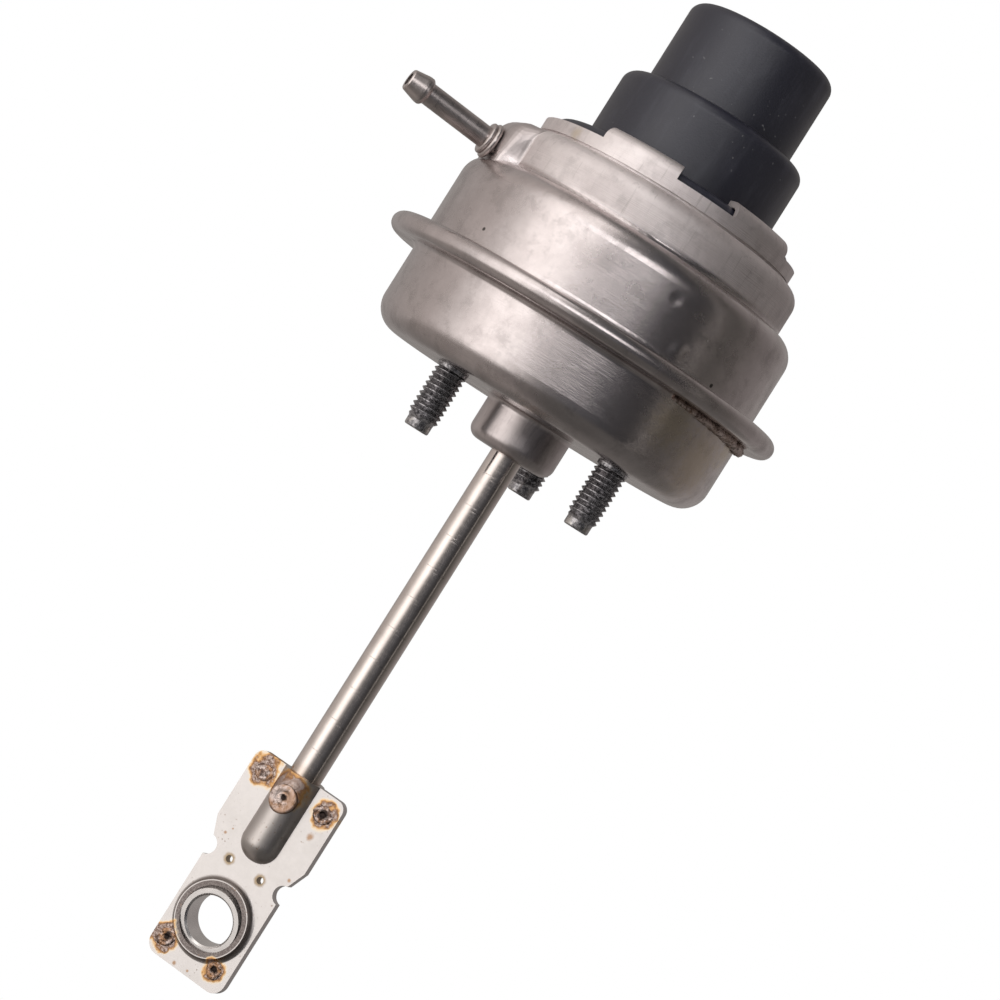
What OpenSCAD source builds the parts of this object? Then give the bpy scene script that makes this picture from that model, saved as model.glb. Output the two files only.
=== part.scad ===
// Vacuum actuator that works a turbocharger's wastegate or vane linkage.
// A rolling diaphragm in a two-part steel can pulls a rod against a return spring,
// and a magnet on the piston tells a sensor under the black cap how far the rod has moved.
// The origin is the centre of the mounting face, on the rod's axis, with the rod out.
// +Z points to the sensor, -Y to the front and -X to the vacuum hose.

/* [Can] */
// Thickness of the pressed steel sheet of both shells
sheet_t = 1.0; // [0.8:0.1:1.2]
// Outer radius of both shells
body_r = 33.3; // [31.5:0.1:40]
// Height of the rim's underside above the mounting face
lower_h = 15.1; // [12.5:0.1:20]
// Fillet round the bottom of the lower shell
bottom_fillet = 5; // [2:0.1:6]
// Outer radius of the rolled rim, beyond the shells
rim_out = 5.9; // [4.9:0.1:8]
// Inner edge of the rim's folded lip, outside the shells
lip_gap = 2.3; // [1.9:0.1:2.8]
// Height of the upper shell's shoulder above the rim's underside
shoulder_rise = 19.6; // [17:0.1:26]
// Fillet round the shoulder, which may take up its whole width
shoulder_fillet = 4.4; // [2.5:0.1:6]
// Height of the narrow step above the shoulder
step_h = 8.3; // [6.9:0.1:12]
// Fillet round the top of the narrow step
step_fillet = 3.2; // [2.5:0.1:4]

/* [Rod guide] */
// Outer radius of the pressed boss round the rod
boss_r = 8.4; // [7:0.1:10.1]
// Depth of the boss below the mounting face
boss_depth = 8; // [6:0.1:12]
// Fillet round the boss's end
boss_fillet = 2.2; // [1.5:0.1:3]
// Fillet between the boss and the mounting face
boss_root = 1; // [0.5:0.1:1.5]
// Length of the rubber wiper at the boss's end
wiper_h = 2.3; // [1.8:0.1:3]
// Thickness of the bush's top flange
bush_flange_t = 1.1; // [0.8:0.1:1.5]

/* [Mounting studs] */
// Outer diameter of the stud's thread
stud_d = 5.9; // [4.9:0.1:8]
// How much thicker the stud's pressed shank is than its thread, on each side
shank_up = 0.3; // [0.2:0.1:0.5]
// Length of a stud below the mounting face
stud_len = 12.4; // [8:0.1:25]
// Diameter of the stud's plain tip
tip_d = 4.7; // [3.9:0.1:4.8]
// Length of the stud's plain tip
tip_len = 1.7; // [1:0.1:3]
// Pitch circle diameter of the studs
stud_pcd = 38; // [31.5:0.5:46]
// How far the studs' circle lies to the right of the rod
stud_shift = 2; // [0:0.1:2.5]
// Direction of the rear stud, seen from the sensor
stud_turn = 80; // [0:1:119]
// Thickness of the plate inside that carries the studs
stud_plate_t = 1.5; // [1.2:0.1:2]
// Thickness of a stud's head
stud_head_t = 1.6; // [1.3:0.1:2]

/* [Vacuum nipple] */
// Direction of the nipple, turned from -X towards the front
nipple_turn = 17; // [0:1:40]
// Upward tilt of the nipple
nipple_tilt = 3.3; // [0:0.1:6]
// Gap between the nipple's collar and the shoulder
nipple_gap = 0.05; // [0.05:0.05:1]
// Distance of the pad's face inside the shell's wall
pad_in = 1.5; // [1.2:0.1:2]
// Width of the pad at its root on the step
pad_w = 16.6; // [13.8:0.1:20]
// Rounding of the pad's edges
pad_round = 4; // [3.3:0.1:4.8]
// Outer diameter of the nipple's tube
hose_d = 4; // [3.3:0.1:4.8]
// Rise of the barb that holds the hose, on each side of the tube
barb_up = 0.57; // [0.4:0.01:0.8]
// Diameter of the nipple's bore
nipple_bore = 2.4; // [1.5:0.1:2.9]
// Length of the nipple outside the pad
nipple_len = 18.6; // [14:0.1:25]

/* [Rod and end plates] */
// Diameter of the rod
rod_d = 6; // [5:0.1:7.2]
// Distance of the end plates' top edge below the mounting face
rod_reach = 74.3; // [40:0.1:120]
// Turn of the end plates about the rod
plate_turn = -19.5; // [-90:0.5:90]
// Thickness of each end plate
plate_t = 1.0; // [0.8:0.1:1.2]
// Width of the end plates round the rod
plate_w = 19.7; // [16.9:0.1:24]
// How far the rod and its pocket reach into the end plates
pocket_len = 13.4; // [11:0.1:20]
// How far the wide part reaches below the rod's end
wide_over = 0.6; // [0.2:0.1:3]
// Length of the taper below the wide part
taper_len = 3.6; // [3:0.1:5]
// Distance of the notches and locating holes below the taper
notch_down = 1.7; // [1.4:0.1:3]
// Width of flat sheet above the ball's housing, up to the middle of the notches
housing_top = 2.25; // [1.85:0.05:4]
// Width of flat sheet beside the ball's housing
housing_side = 0.3; // [0.1:0.05:2]
// Width of flat sheet below the ball's housing
housing_foot = 2.85; // [1.5:0.05:4]
// Rounding of the end plates' upper corners
upper_corner = 1.8; // [1:0.1:2.5]
// Rounding of the end plates' lower corners
foot_corner = 2.4; // [1.5:0.1:4]
// Radius of the two notches
notch_r = 1.85; // [1.2:0.05:2.2]
// Diameter of the two locating holes
pilot_d = 1.3; // [1:0.1:1.5]
// Spacing of the two locating holes
pilot_gap = 7; // [5.8:0.1:8.4]
// Diameter of the plug weld that holds the rod
plug_d = 5.2; // [4:0.1:6.2]
// Distance of the plug weld from the top edge
plug_down = 4.9; // [4:0.1:7]

/* [Ball joint] */
// Diameter of the ball's bore
bore_d = 9; // [7.5:0.1:11]
// Thickness of the ball round its bore, halfway between its faces
ball_wall = 1.75; // [1.45:0.05:2.5]
// Width of the ball across its faces
ball_w = 5; // [4.1:0.1:6]
// Rise of the ball housing's lip above its root
lip_up = 0.3; // [0.2:0.05:0.5]
// Swivel of the ball as it is left, with its front face turned down
ball_tilt = 9; // [0:0.5:12]

/* [Sensor] */
// Radius of the plug socket
socket_r = 10.6; // [8.8:0.1:12.8]
// Depth of the plug socket
socket_depth = 11; // [9.1:0.1:13.2]
// Wall of the plug collar round the socket
neck_wall = 3.8; // [3.1:0.1:4.6]
// Height of the plug collar above the wide part
cap_neck_h = 16.3; // [13.5:0.1:22]
// Width of the ledge between the plug collar and the wide part
cap_ledge = 3.8; // [3.1:0.1:4.6]
// Height of the wide part above the flange
cap_wide_h = 13.8; // [11.5:0.1:17]
// Width of the sensor housing's flange round the wide part
flange_w = 5.7; // [5.6:0.1:7]
// Thickness of the sensor housing's flange
cap_flange_t = 3.8; // [3.1:0.1:4.6]
// Width of the seal under the flange
seal_w = 3.2; // [2.6:0.1:4]
// Free length of the terminals in the socket
pin_len = 6.6; // [5:0.1:8]
// Spacing of the terminals
pin_pitch = 4; // [3.3:0.1:4.8]

/* [Clamp ring] */
// Gap between the ring and the sensor housing's flange
ring_gap = 0.6; // [0.3:0.1:1]
// Thickness of the ring's sheet
ring_t = 1.1; // [0.9:0.1:1.4]
// Height of the ring between its tabs
ring_h = 2.8; // [1.5:0.1:3.3]
// Width of a tab as an angle
tab_angle = 34; // [20:1:42]
// Angle between the middles of the two tabs of a pair
pair_angle = 61; // [50:1:80]
// Direction of the middle of the front pair, seen from the sensor
pair_turn = -77.5; // [-180:0.5:180]
// Reach of a tab over the flange
tab_reach = 4.8; // [3.5:0.1:5.4]

/* [Diaphragm and spring] */
// Thickness of the rubber diaphragm
rubber_t = 0.7; // [0.5:0.1:0.9]
// Thickness of the piston's pressed metal
piston_t = 0.8; // [0.6:0.1:1]
// Width of the diaphragm's roll between the piston and the can
roll_w = 6.2; // [5.1:0.1:7.5]
// How far the piston's wall reaches above the clamped rubber
piston_over = 3.1; // [2.5:0.1:5]
// Wire diameter of the return spring
wire_d = 2.4; // [1.6:0.1:2.8]
// Radius of the return spring at the middle of its wire
coil_r = 17; // [14.1:0.1:20.4]
// Working turns of the return spring
coil_turns = 4.5; // [3:0.5:5]

/* [Hidden] */
$fn = 96;
// Clearance of a sliding fit and of an assembled one
run_gap = 0.04;
fit_gap = 0.1;
// Radii from the plug socket outwards: each part carries the next one, down to the can's step
cap_neck_r = socket_r + neck_wall;
cap_wide_r = cap_neck_r + cap_ledge;
cap_flange_r = cap_wide_r + flange_w;
ring_r = cap_flange_r + ring_gap + ring_t;
step_r = ring_r + 0.1 + step_fillet;
// Heights of the can, from the mounting face up
shoulder_z = lower_h + shoulder_rise;
top_z = shoulder_z + step_h;
inner_r = body_r - sheet_t;
// The rim folds the lower shell round the diaphragm's edge and the upper shell's flange
rubber_z = lower_h + sheet_t;
flange_z = rubber_z + rubber_t;
lip_z = flange_z + sheet_t;
rim_top = lip_z + sheet_t;
rim_roll = (rim_top - lower_h) / 2;
rim_mid = (rim_top + lower_h) / 2;
rim_x = body_r + rim_out - rim_roll;
root_fillet = lip_gap - 0.3;
// The shoulder is what the can leaves outside the step
shoulder_r = min(shoulder_fillet, body_r - step_r);
shank_r = stud_d / 2 + shank_up;
stud_head_r = stud_d / 2 + 2;
// Distance of the stud nearest to the rod
stud_near = min([for (i = [0:2]) norm([stud_shift + stud_pcd / 2 * cos(stud_turn + 120 * i),
    stud_pcd / 2 * sin(stud_turn + 120 * i)])]);
// Inside the boss
rod_r = rod_d / 2;
boss_in = boss_r - sheet_t;
boss_floor = sheet_t - boss_depth;
rod_hole = rod_r + 0.3;
bush_flange_r = min(boss_r + 1.2, stud_near - stud_head_r - 0.3);
// The plate with the studs lies on the can's floor, and the piston stops just above their heads
plate_top = sheet_t + stud_plate_t;
head_top = plate_top + stud_head_t;
stop_gap = 0.9;
lower_disc_z = head_top + stop_gap;
piston_z = lower_disc_z + piston_t + rubber_t;
floor_z = piston_z + piston_t;
// The magnet's carrier stands on the piston and reaches into the sensor housing
base_t = 2;
washer_t = 0.8;
spigot_r = 2.2;
spigot_hole = spigot_r + fit_gap;
washer_z = floor_z + base_t;
rivet_z = washer_z + washer_t;
carrier_r = 7;
carrier_wall = 1.6;
magnet_r = 4;
magnet_h = 6;
carrier_top = top_z + 3.4;
// The rubber leg on the piston rolls over into the one at the wall
outer_leg = inner_r - fit_gap;
inner_leg = outer_leg - roll_w;
piston_r = inner_leg - fit_gap;
piston_top = flange_z + piston_over;
roll_r = roll_w / 2;
roll_x = (outer_leg + inner_leg) / 2;
roll_z = piston_top - 1;
// Spring seat under the can's top
seat_t = 1;
seat_z = top_z - sheet_t - seat_t;
// The sensor housing stands on its seal, and the tabs hold its flange
seal_t = 0.6;
seal_r = cap_flange_r - 0.4;
top_hole_r = seal_r - seal_w - 0.3;
cap_z = top_z + seal_t;
cap_flange_top = cap_z + cap_flange_t;
cap_wide_top = cap_flange_top + cap_wide_h;
cap_top = cap_wide_top + cap_neck_h;
cap_round = 2.2;
flange_round = 1.8;
bore_r = carrier_r + 1.6;
bore_top = cap_wide_top - 2;
// Pocket of the board, beside the magnet's bore
pocket_y = bore_r + 1.2;
pocket_depth = 3.1;
pocket_half = 6.5;
pocket_top = bore_top;
board_t = 1;
board_y = pocket_y + 1.4;
board_back = board_y + board_t;
blade_w = 1.5;
blade_t = 0.6;
leg_z = bore_top + 1;
socket_floor = cap_top - socket_depth;
// Vacuum nipple: its collar clears the shoulder both at the pad and at its widest
pad_reach = body_r - pad_in;
pad_top = top_z - 0.5;
pad_base = shoulder_z - 5;
pad_foot_r = sheet_t + 0.6;
collar_r = hose_d / 2 + 1.35;
function shoulder_at(r) = shoulder_z - shoulder_r + sqrt(pow(shoulder_r, 2)
    - pow(max(0, r - body_r + shoulder_r), 2));
nipple_low = max(shoulder_at(pad_reach + 0.2) - 0.5, shoulder_at(pad_reach + 0.8));
nipple_z = nipple_low + collar_r + nipple_gap;
// End plates and ball, measured down from the mounting face
ball_r = bore_d / 2 + ball_wall;
cup_r = ball_r + run_gap;
dome_r = cup_r + plate_t;
dome_fillet = 1;
flare_h = plate_t + dome_fillet;
flare_x = sqrt(pow(dome_r + dome_fillet, 2) - pow(flare_h, 2));
lip_h = flare_h + lip_up;
plate_z = -rod_reach;
rod_end = plate_z - pocket_len;
wide_z = rod_end - wide_over;
taper_z = wide_z - taper_len;
notch_z = taper_z - notch_down;
ball_z = notch_z - housing_top - flare_x;
foot_z = ball_z - flare_x - housing_foot;
foot_w = 2 * (flare_x + housing_side);
pocket_r = rod_r + plate_t;
plug_z = plate_z - plug_down;
steel = [0.78, 0.76, 0.74];
dark_steel = [0.62, 0.61, 0.6];
black = [0.1, 0.1, 0.1];

// Half section of a round pan, from the axis out, with a filleted lower edge
module pan(r, z0, z1, f) {
    translate([0, z0 + f])
        square([r, z1 - z0 - f]);
    translate([0, z0])
        square([r - f, f + 0.01]);
    intersection() {
        translate([r - f, z0 + f])
            circle(f);
        translate([r - f - 0.01, z0])
            square(f + 0.01);
    }
}

// Half section of a round lid, from the axis out, with a filleted upper edge
module lid(r, z0, z1, f) {
    mirror([0, 1])
        pan(r, -z1, -z0, f);
}

// Section of a fillet between a wall on its left and a floor under it
module corner(x, z, f) {
    difference() {
        translate([x - 0.05, z - 0.05])
            square(f + 0.05);
        translate([x + f, z + f])
            circle(f);
    }
}

// Turns a shape that is drawn along +X, at the nipple's height, to where the nipple points
module at_nipple() {
    rotate([0, 0, 180 + nipple_turn])
        translate([pad_reach, 0, nipple_z])
            rotate([0, -nipple_tilt, 0])
                children();
}

// Turns a shape that is drawn along +Z, from the pad's face outwards
module along_nipple() {
    at_nipple()
        rotate([0, 90, 0])
            children();
}

module stud_places() {
    for (i = [0:2])
        translate([stud_shift, 0, 0])
            rotate([0, 0, stud_turn + 120 * i])
                translate([stud_pcd / 2, 0, 0])
                    children();
}

module lower_shell() {
    color(steel)
        difference() {
            rotate_extrude() {
                difference() {
                    union() {
                        pan(body_r, 0, rim_mid, bottom_fillet);
                        pan(boss_r, -boss_depth, 1, boss_fillet);
                        mirror([0, 1])
                            corner(boss_r, 0, boss_root);
                        mirror([0, 1])
                            corner(body_r, -lower_h, 1.2);
                        translate([0, lower_h])
                            square([rim_x, rim_top - lower_h]);
                        translate([rim_x, rim_mid])
                            circle(rim_roll);
                    }
                    pan(inner_r, sheet_t, rubber_z + 0.01, bottom_fillet - sheet_t);
                    pan(boss_in, boss_floor, sheet_t + 0.5, boss_fillet - sheet_t);
                    translate([0, -boss_depth - 1])
                        square([rod_hole, boss_depth]);
                    translate([0, rubber_z])
                        square([rim_x, lip_z - rubber_z]);
                    translate([rim_x, rim_mid])
                        circle(rim_roll - sheet_t);
                    translate([0, lip_z - 0.01])
                        square([body_r + lip_gap, sheet_t + 1]);
                }
            }
            stud_places()
                translate([0, 0, -1])
                    cylinder(h = sheet_t + 2, r = shank_r + fit_gap);
        }
}

// The pad that carries the nipple is pressed out of the step, in one with the shell. It is wider
// at its foot than at its round top, which creases its cheeks.
module pad(inset) {
    top_spread = pad_w / 2 - pad_round - 1.1;
    foot_spread = pad_w / 2 - pad_foot_r - 2;
    rotate([0, 0, 180 + nipple_turn])
        hull() {
            translate([step_r - 5, inset - pad_w / 2, pad_base])
                cube([1, pad_w - 2 * inset, pad_top - inset - pad_base]);
            for (side = [-1, 1]) {
                translate([pad_reach - pad_round, side * top_spread, pad_top - pad_round])
                    sphere(pad_round - inset, $fn = 32);
                translate([pad_reach - pad_foot_r, side * foot_spread, pad_base])
                    cylinder(h = shoulder_z - pad_base, r = pad_foot_r - inset, $fn = 24);
            }
        }
}

module upper_shell() {
    color(steel)
        difference() {
            union() {
                rotate_extrude() {
                    lid(body_r, flange_z, shoulder_z, shoulder_r);
                    lid(step_r, shoulder_z - 1, top_z, step_fillet);
                    corner(step_r, shoulder_z - 0.3, 0.8);
                    corner(body_r, lip_z, root_fillet);
                    translate([0, flange_z])
                        square([rim_x, sheet_t]);
                }
                pad(0);
            }
            rotate_extrude() {
                lid(inner_r, flange_z - 1, shoulder_z - sheet_t, shoulder_r - sheet_t);
                lid(step_r - sheet_t, shoulder_z - 3, top_z - sheet_t, step_fillet - sheet_t);
                square([top_hole_r, top_z + 1]);
            }
            pad(sheet_t);
            along_nipple()
                translate([0, 0, -3])
                    cylinder(h = 6, d = hose_d + 2 * fit_gap);
        }
}

// The plate fills the can's rounded floor
module stud_plate() {
    color(dark_steel)
        difference() {
            rotate_extrude()
                intersection() {
                    pan(inner_r - fit_gap, sheet_t, rubber_z, bottom_fillet);
                    translate([0, sheet_t])
                        square([inner_r, stud_plate_t]);
                }
            translate([0, 0, sheet_t - 1])
                cylinder(h = stud_plate_t + 2, r = boss_in + 0.2);
            stud_places()
                cylinder(h = 10, r = shank_r + fit_gap);
        }
}

module mounting_studs() {
    color(black)
        stud_places() {
            translate([0, 0, -stud_len])
                cylinder(h = tip_len + 1, d = tip_d);
            translate([0, 0, tip_len - stud_len])
                cylinder(h = stud_len - tip_len + 0.1, d = stud_d);
            cylinder(h = plate_top + 0.1, r = shank_r);
            translate([0, 0, plate_top])
                cylinder(h = stud_head_t, r = stud_head_r);
        }
}

module guide_bush() {
    color([0.55, 0.42, 0.26])
        rotate_extrude()
            difference() {
                union() {
                    translate([0, boss_floor + wiper_h + fit_gap])
                        square([boss_in - run_gap, plate_top - boss_floor - wiper_h - fit_gap + 0.2]);
                    translate([0, plate_top])
                        square([bush_flange_r, bush_flange_t]);
                }
                translate([0, -boss_depth])
                    square([rod_r + run_gap, boss_depth + head_top + 1]);
            }
}

// The wiper has a grooved edge where it meets the rod
module rod_wiper() {
    lip = wiper_h / 4;
    color([0.16, 0.16, 0.16])
        rotate_extrude()
            difference() {
                pan(boss_in - run_gap, boss_floor + 0.02, boss_floor + wiper_h, boss_fillet - sheet_t);
                translate([0, -boss_depth])
                    square([rod_r + run_gap, boss_depth + 2]);
                translate([rod_r + run_gap, boss_floor + wiper_h / 2])
                    circle(lip);
            }
}

// The barb is a cone that the hose slides over, with a rounded shoulder behind it
module vacuum_nipple() {
    tube = hose_d / 2;
    barb = tube + barb_up;
    hole = nipple_bore / 2;
    color(dark_steel)
        along_nipple()
            rotate_extrude()
                polygon([[hole, -2], [tube, -2], [tube, nipple_len - 4.2], [barb - 0.12, nipple_len - 3.8],
                    [barb, nipple_len - 3.5], [barb, nipple_len - 3], [barb - 0.06, nipple_len - 2.6],
                    [tube, nipple_len - 0.2], [tube - 0.15, nipple_len], [hole, nipple_len]]);
}

// Two brazed rings hold the nipple on its pad, clear of the pad's upright face where they tilt
module nipple_collar() {
    seat = collar_r * sin(nipple_tilt) + 0.02;
    hole = hose_d / 2 + 0.02;
    color(steel)
        along_nipple()
            translate([0, 0, seat])
                rotate_extrude() {
                    translate([hole, 0])
                        square([collar_r - 0.5 - hole, 1.1]);
                    translate([collar_r - 0.55, 0.55])
                        circle(0.55);
                    translate([hole, 1])
                        square([collar_r - 0.8 - hole, 0.9]);
                    translate([collar_r - 0.8, 1.45])
                        circle(0.45);
                }
}

// The rubber is clamped in the rim, rolls over and lies under the piston
module diaphragm() {
    color([0.13, 0.13, 0.14])
        rotate_extrude() {
            translate([outer_leg - rubber_t, rubber_z])
                square([rim_x - outer_leg + rubber_t - 0.1, rubber_t]);
            translate([outer_leg - rubber_t, rubber_z])
                square([rubber_t, roll_z - rubber_z]);
            translate([inner_leg, piston_z - rubber_t])
                square([rubber_t, roll_z - piston_z + rubber_t]);
            translate([spigot_hole, piston_z - rubber_t])
                square([inner_leg - spigot_hole + rubber_t, rubber_t]);
            difference() {
                translate([roll_x, roll_z])
                    circle(roll_r);
                translate([roll_x, roll_z])
                    circle(roll_r - rubber_t);
                translate([inner_leg - 1, roll_z - roll_r - 1])
                    square([2 * roll_r + 2, roll_r + 1]);
            }
        }
}

// Height of the spring's wire after some turns: one closed turn at each end, the rest evenly apart
function coil_pitch() = (seat_z - floor_z - 3 * wire_d - 0.1) / coil_turns;
function coil_rise(turn) =
    floor_z + wire_d / 2 + 0.05 + wire_d * min(turn, 1) + coil_pitch() * max(0, min(turn - 1, coil_turns))
    + wire_d * max(0, turn - 1 - coil_turns);

module return_spring() {
    sides = 8;
    per_turn = 24;
    rings = round((coil_turns + 2) * per_turn);
    points = [for (i = [0:rings], k = [0:sides - 1])
        let (turn = i / per_turn, a = 360 * turn, s = 360 * k / sides, w = wire_d / 2)
        [(coil_r + w * cos(s)) * cos(a), (coil_r + w * cos(s)) * sin(a), coil_rise(turn) + w * sin(s)]];
    walls = [for (i = [0:rings - 1], k = [0:sides - 1])
        let (n = (k + 1) % sides)
        [i * sides + k, i * sides + n, (i + 1) * sides + n, (i + 1) * sides + k]];
    start = [for (k = [sides - 1:-1:0]) k];
    end = [for (k = [0:sides - 1]) rings * sides + k];
    color([0.7, 0.7, 0.72])
        polyhedron(points, concat([start, end], walls));
}

module spring_seat() {
    color(dark_steel)
        rotate_extrude()
            difference() {
                translate([coil_r - wire_d - 0.6, seat_z])
                    square([step_r - sheet_t - step_fillet - coil_r + wire_d + 0.4, seat_t]);
                translate([0, seat_z - 1])
                    square([coil_r - wire_d - 0.5, seat_t + 2]);
            }
}

module sensor_seal() {
    color([0.16, 0.16, 0.16])
        difference() {
            translate([0, 0, top_z])
                cylinder(h = seal_t, r = seal_r);
            translate([0, 0, top_z - 1])
                cylinder(h = seal_t + 2, r = seal_r - seal_w);
        }
}

// One terminal: a blade in the socket, a run over the magnet's bore and a leg behind the board
module terminal(grow) {
    translate([-blade_w / 2 - grow, -blade_t / 2 - grow, leg_z - grow])
        cube([blade_w + 2 * grow, blade_t + 2 * grow, socket_floor + pin_len - leg_z + grow]);
    translate([-blade_w / 2 - grow, -blade_t / 2 - grow, leg_z - grow])
        cube([blade_w + 2 * grow, board_back + 1.5 * blade_t + 2 * grow, blade_t + 2 * grow]);
    translate([-blade_w / 2 - grow, board_back - grow, pocket_top - 3])
        cube([blade_w + 2 * grow, blade_t + 2 * grow, leg_z - pocket_top + 3 + blade_t]);
}

module terminal_places() {
    for (i = [-1:1])
        translate([i * pin_pitch, 0, 0])
            children();
}

module sensor_housing() {
    color(black)
        difference() {
            union() {
                rotate_extrude() {
                    lid(cap_flange_r, cap_z, cap_flange_top, flange_round);
                    lid(cap_wide_r, cap_flange_top - 1, cap_wide_top, cap_round);
                    lid(cap_neck_r, cap_wide_top - 1, cap_top, cap_round);
                    corner(cap_neck_r, cap_wide_top, 0.5);
                    corner(cap_wide_r, cap_flange_top, 0.6);
                }
            }
            translate([0, 0, cap_z - 1])
                cylinder(h = bore_top - cap_z + 1, r = bore_r);
            translate([-pocket_half, pocket_y, cap_z - 1])
                cube([2 * pocket_half, pocket_depth, pocket_top - cap_z + 1]);
            translate([0, 0, socket_floor])
                cylinder(h = socket_depth + 1, r = socket_r);
            translate([0, 0, cap_top - 0.6])
                cylinder(h = 1.2, r1 = socket_r - 0.01, r2 = socket_r + 1.2);
            terminal_places()
                terminal(0.05);
        }
    color(black)
        intersection() {
            translate([socket_r - 1.3, -1.2, socket_floor - 0.5])
                cube([2, 2.4, socket_depth - 1]);
            translate([0, 0, socket_floor - 0.5])
                cylinder(h = socket_depth, r = socket_r + 0.5);
        }
}

// Takes the upper part of the ring away between two tabs
module tab_gap(start, turn) {
    rotate([0, 0, start])
        rotate_extrude(angle = turn)
            translate([ring_r - tab_reach - 1, top_z + ring_h])
                square([tab_reach + 3, cap_flange_t + 3]);
}

// The ring is welded to the can, and two pairs of tabs are bent over the housing's flange
module clamp_ring() {
    inner = ring_r - ring_t;
    bend = ring_t + 1.2;
    tab_top = cap_flange_top + ring_t;
    narrow = pair_angle - tab_angle;
    wide = 180 - pair_angle - tab_angle;
    color(steel)
        difference() {
            rotate_extrude()
                difference() {
                    union() {
                        lid(ring_r, top_z + 0.5, tab_top, bend);
                        translate([0, top_z])
                            square([ring_r - 0.4, 0.6]);
                    }
                    lid(inner, top_z - 1, cap_flange_top, bend - ring_t);
                    square([ring_r - tab_reach, tab_top + 1]);
                }
            for (side = [0, 180]) {
                tab_gap(pair_turn + side - narrow / 2, narrow);
                tab_gap(pair_turn + side + (pair_angle + tab_angle) / 2, wide);
            }
        }
}

module sensor_board() {
    color([0.1, 0.35, 0.2])
        translate([0.2 - pocket_half, board_y, cap_z + 2.1])
            cube([2 * pocket_half - 0.4, board_t, pocket_top - cap_z - 2.4]);
}

module hall_chip() {
    color([0.12, 0.12, 0.13])
        translate([-2, board_y - 1.1, cap_z + 5])
            cube([4, 1.1, 4]);
}

module terminals() {
    color([0.85, 0.72, 0.38])
        terminal_places()
            terminal(0);
}

module board_plug() {
    color([0.2, 0.2, 0.22])
        translate([0.05 - pocket_half, pocket_y + 0.05, cap_z])
            cube([2 * pocket_half - 0.1, pocket_depth - 0.1, 1.9]);
}

// The rod has a spigot through the piston, riveted over at its end
module rod() {
    color(steel) {
        translate([0, 0, rod_end])
            cylinder(h = lower_disc_z - rod_end, r = rod_r);
        translate([0, 0, lower_disc_z - 0.5])
            cylinder(h = rivet_z - lower_disc_z + 0.6, r = spigot_r);
        translate([0, 0, rivet_z])
            cylinder(h = 1.1, r1 = spigot_r + 1.2, r2 = spigot_r + 0.6);
    }
}

module diaphragm_plate() {
    color(dark_steel)
        translate([0, 0, lower_disc_z])
            difference() {
                rotate_extrude()
                    pan(piston_r - 0.6, 0, piston_t, piston_t / 2);
                translate([0, 0, -1])
                    cylinder(h = piston_t + 2, r = spigot_hole);
            }
}

module piston_cup() {
    color(dark_steel)
        rotate_extrude()
            difference() {
                pan(piston_r, piston_z, piston_top, 0.9);
                translate([0, floor_z])
                    square([piston_r - piston_t, piston_top - floor_z + 1]);
                translate([0, piston_z - 1])
                    square([spigot_hole, 3]);
            }
}

module magnet_carrier() {
    color([0.22, 0.22, 0.24])
        rotate_extrude()
            difference() {
                union() {
                    translate([0, floor_z])
                        square([carrier_r + 2, base_t]);
                    translate([0, floor_z])
                        square([carrier_r, carrier_top - floor_z]);
                    corner(carrier_r, washer_z, 1);
                }
                translate([0, floor_z - 1])
                    square([spigot_hole, base_t + 2]);
                translate([0, washer_z])
                    square([carrier_r - carrier_wall, carrier_top - magnet_h - 2.5 - washer_z]);
                translate([0, carrier_top - magnet_h - 0.5])
                    square([magnet_r + 0.05, magnet_h + 1]);
            }
}

module rod_washer() {
    color(steel)
        translate([0, 0, washer_z])
            difference() {
                cylinder(h = washer_t, r = carrier_r - carrier_wall - 0.3);
                translate([0, 0, -1])
                    cylinder(h = washer_t + 2, r = spigot_hole);
            }
}

module magnet() {
    color([0.5, 0.5, 0.52])
        translate([0, 0, carrier_top - magnet_h - 0.5])
            cylinder(h = magnet_h, r = magnet_r);
}

// Outline of an end plate: wide at the rod, tapered and notched above the ball
module plate_outline() {
    half = plate_w / 2;
    foot = foot_w / 2;
    difference() {
        union() {
            translate([-half, wide_z])
                square([plate_w, plate_z - wide_z - upper_corner]);
            translate([upper_corner - half, wide_z])
                square([plate_w - 2 * upper_corner, plate_z - wide_z]);
            polygon([[-half, wide_z + 0.01], [-foot, taper_z], [foot, taper_z], [half, wide_z + 0.01]]);
            translate([-foot, foot_z + foot_corner])
                square([foot_w, taper_z - foot_z - foot_corner + 0.01]);
            translate([foot_corner - foot, foot_z])
                square([foot_w - 2 * foot_corner, foot_corner + 0.01]);
            for (side = [-1, 1]) {
                translate([side * (half - upper_corner), plate_z - upper_corner])
                    circle(upper_corner);
                translate([side * (foot - foot_corner), foot_z + foot_corner])
                    circle(foot_corner);
            }
        }
        for (side = [-1, 1]) {
            translate([side * (foot + 0.2), notch_z])
                circle(notch_r);
            translate([side * pilot_gap / 2, notch_z])
                circle(d = pilot_d);
        }
    }
}

// Section of the ball housing, from the ball's centre out: a spherical cup that flares into the sheet
module cup_section() {
    touch = dome_r / (dome_r + dome_fillet);
    intersection() {
        circle(dome_r);
        square([dome_r + 1, lip_h]);
    }
    difference() {
        polygon([[dome_r - 1, 0.2], [flare_x, 0.2], [flare_x, plate_t], [flare_x, flare_h],
            [flare_x * touch, flare_h * touch]]);
        translate([flare_x, flare_h])
            circle(dome_fillet + 0.03);
    }
}

// The front half of the rod's space in the end plates, with a round end
module rod_space(r, length) {
    translate([0, 0, rod_end])
        rotate([0, 0, 180])
            rotate_extrude(angle = 180)
                pan(r, -r, length, r - 0.4);
}

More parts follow.
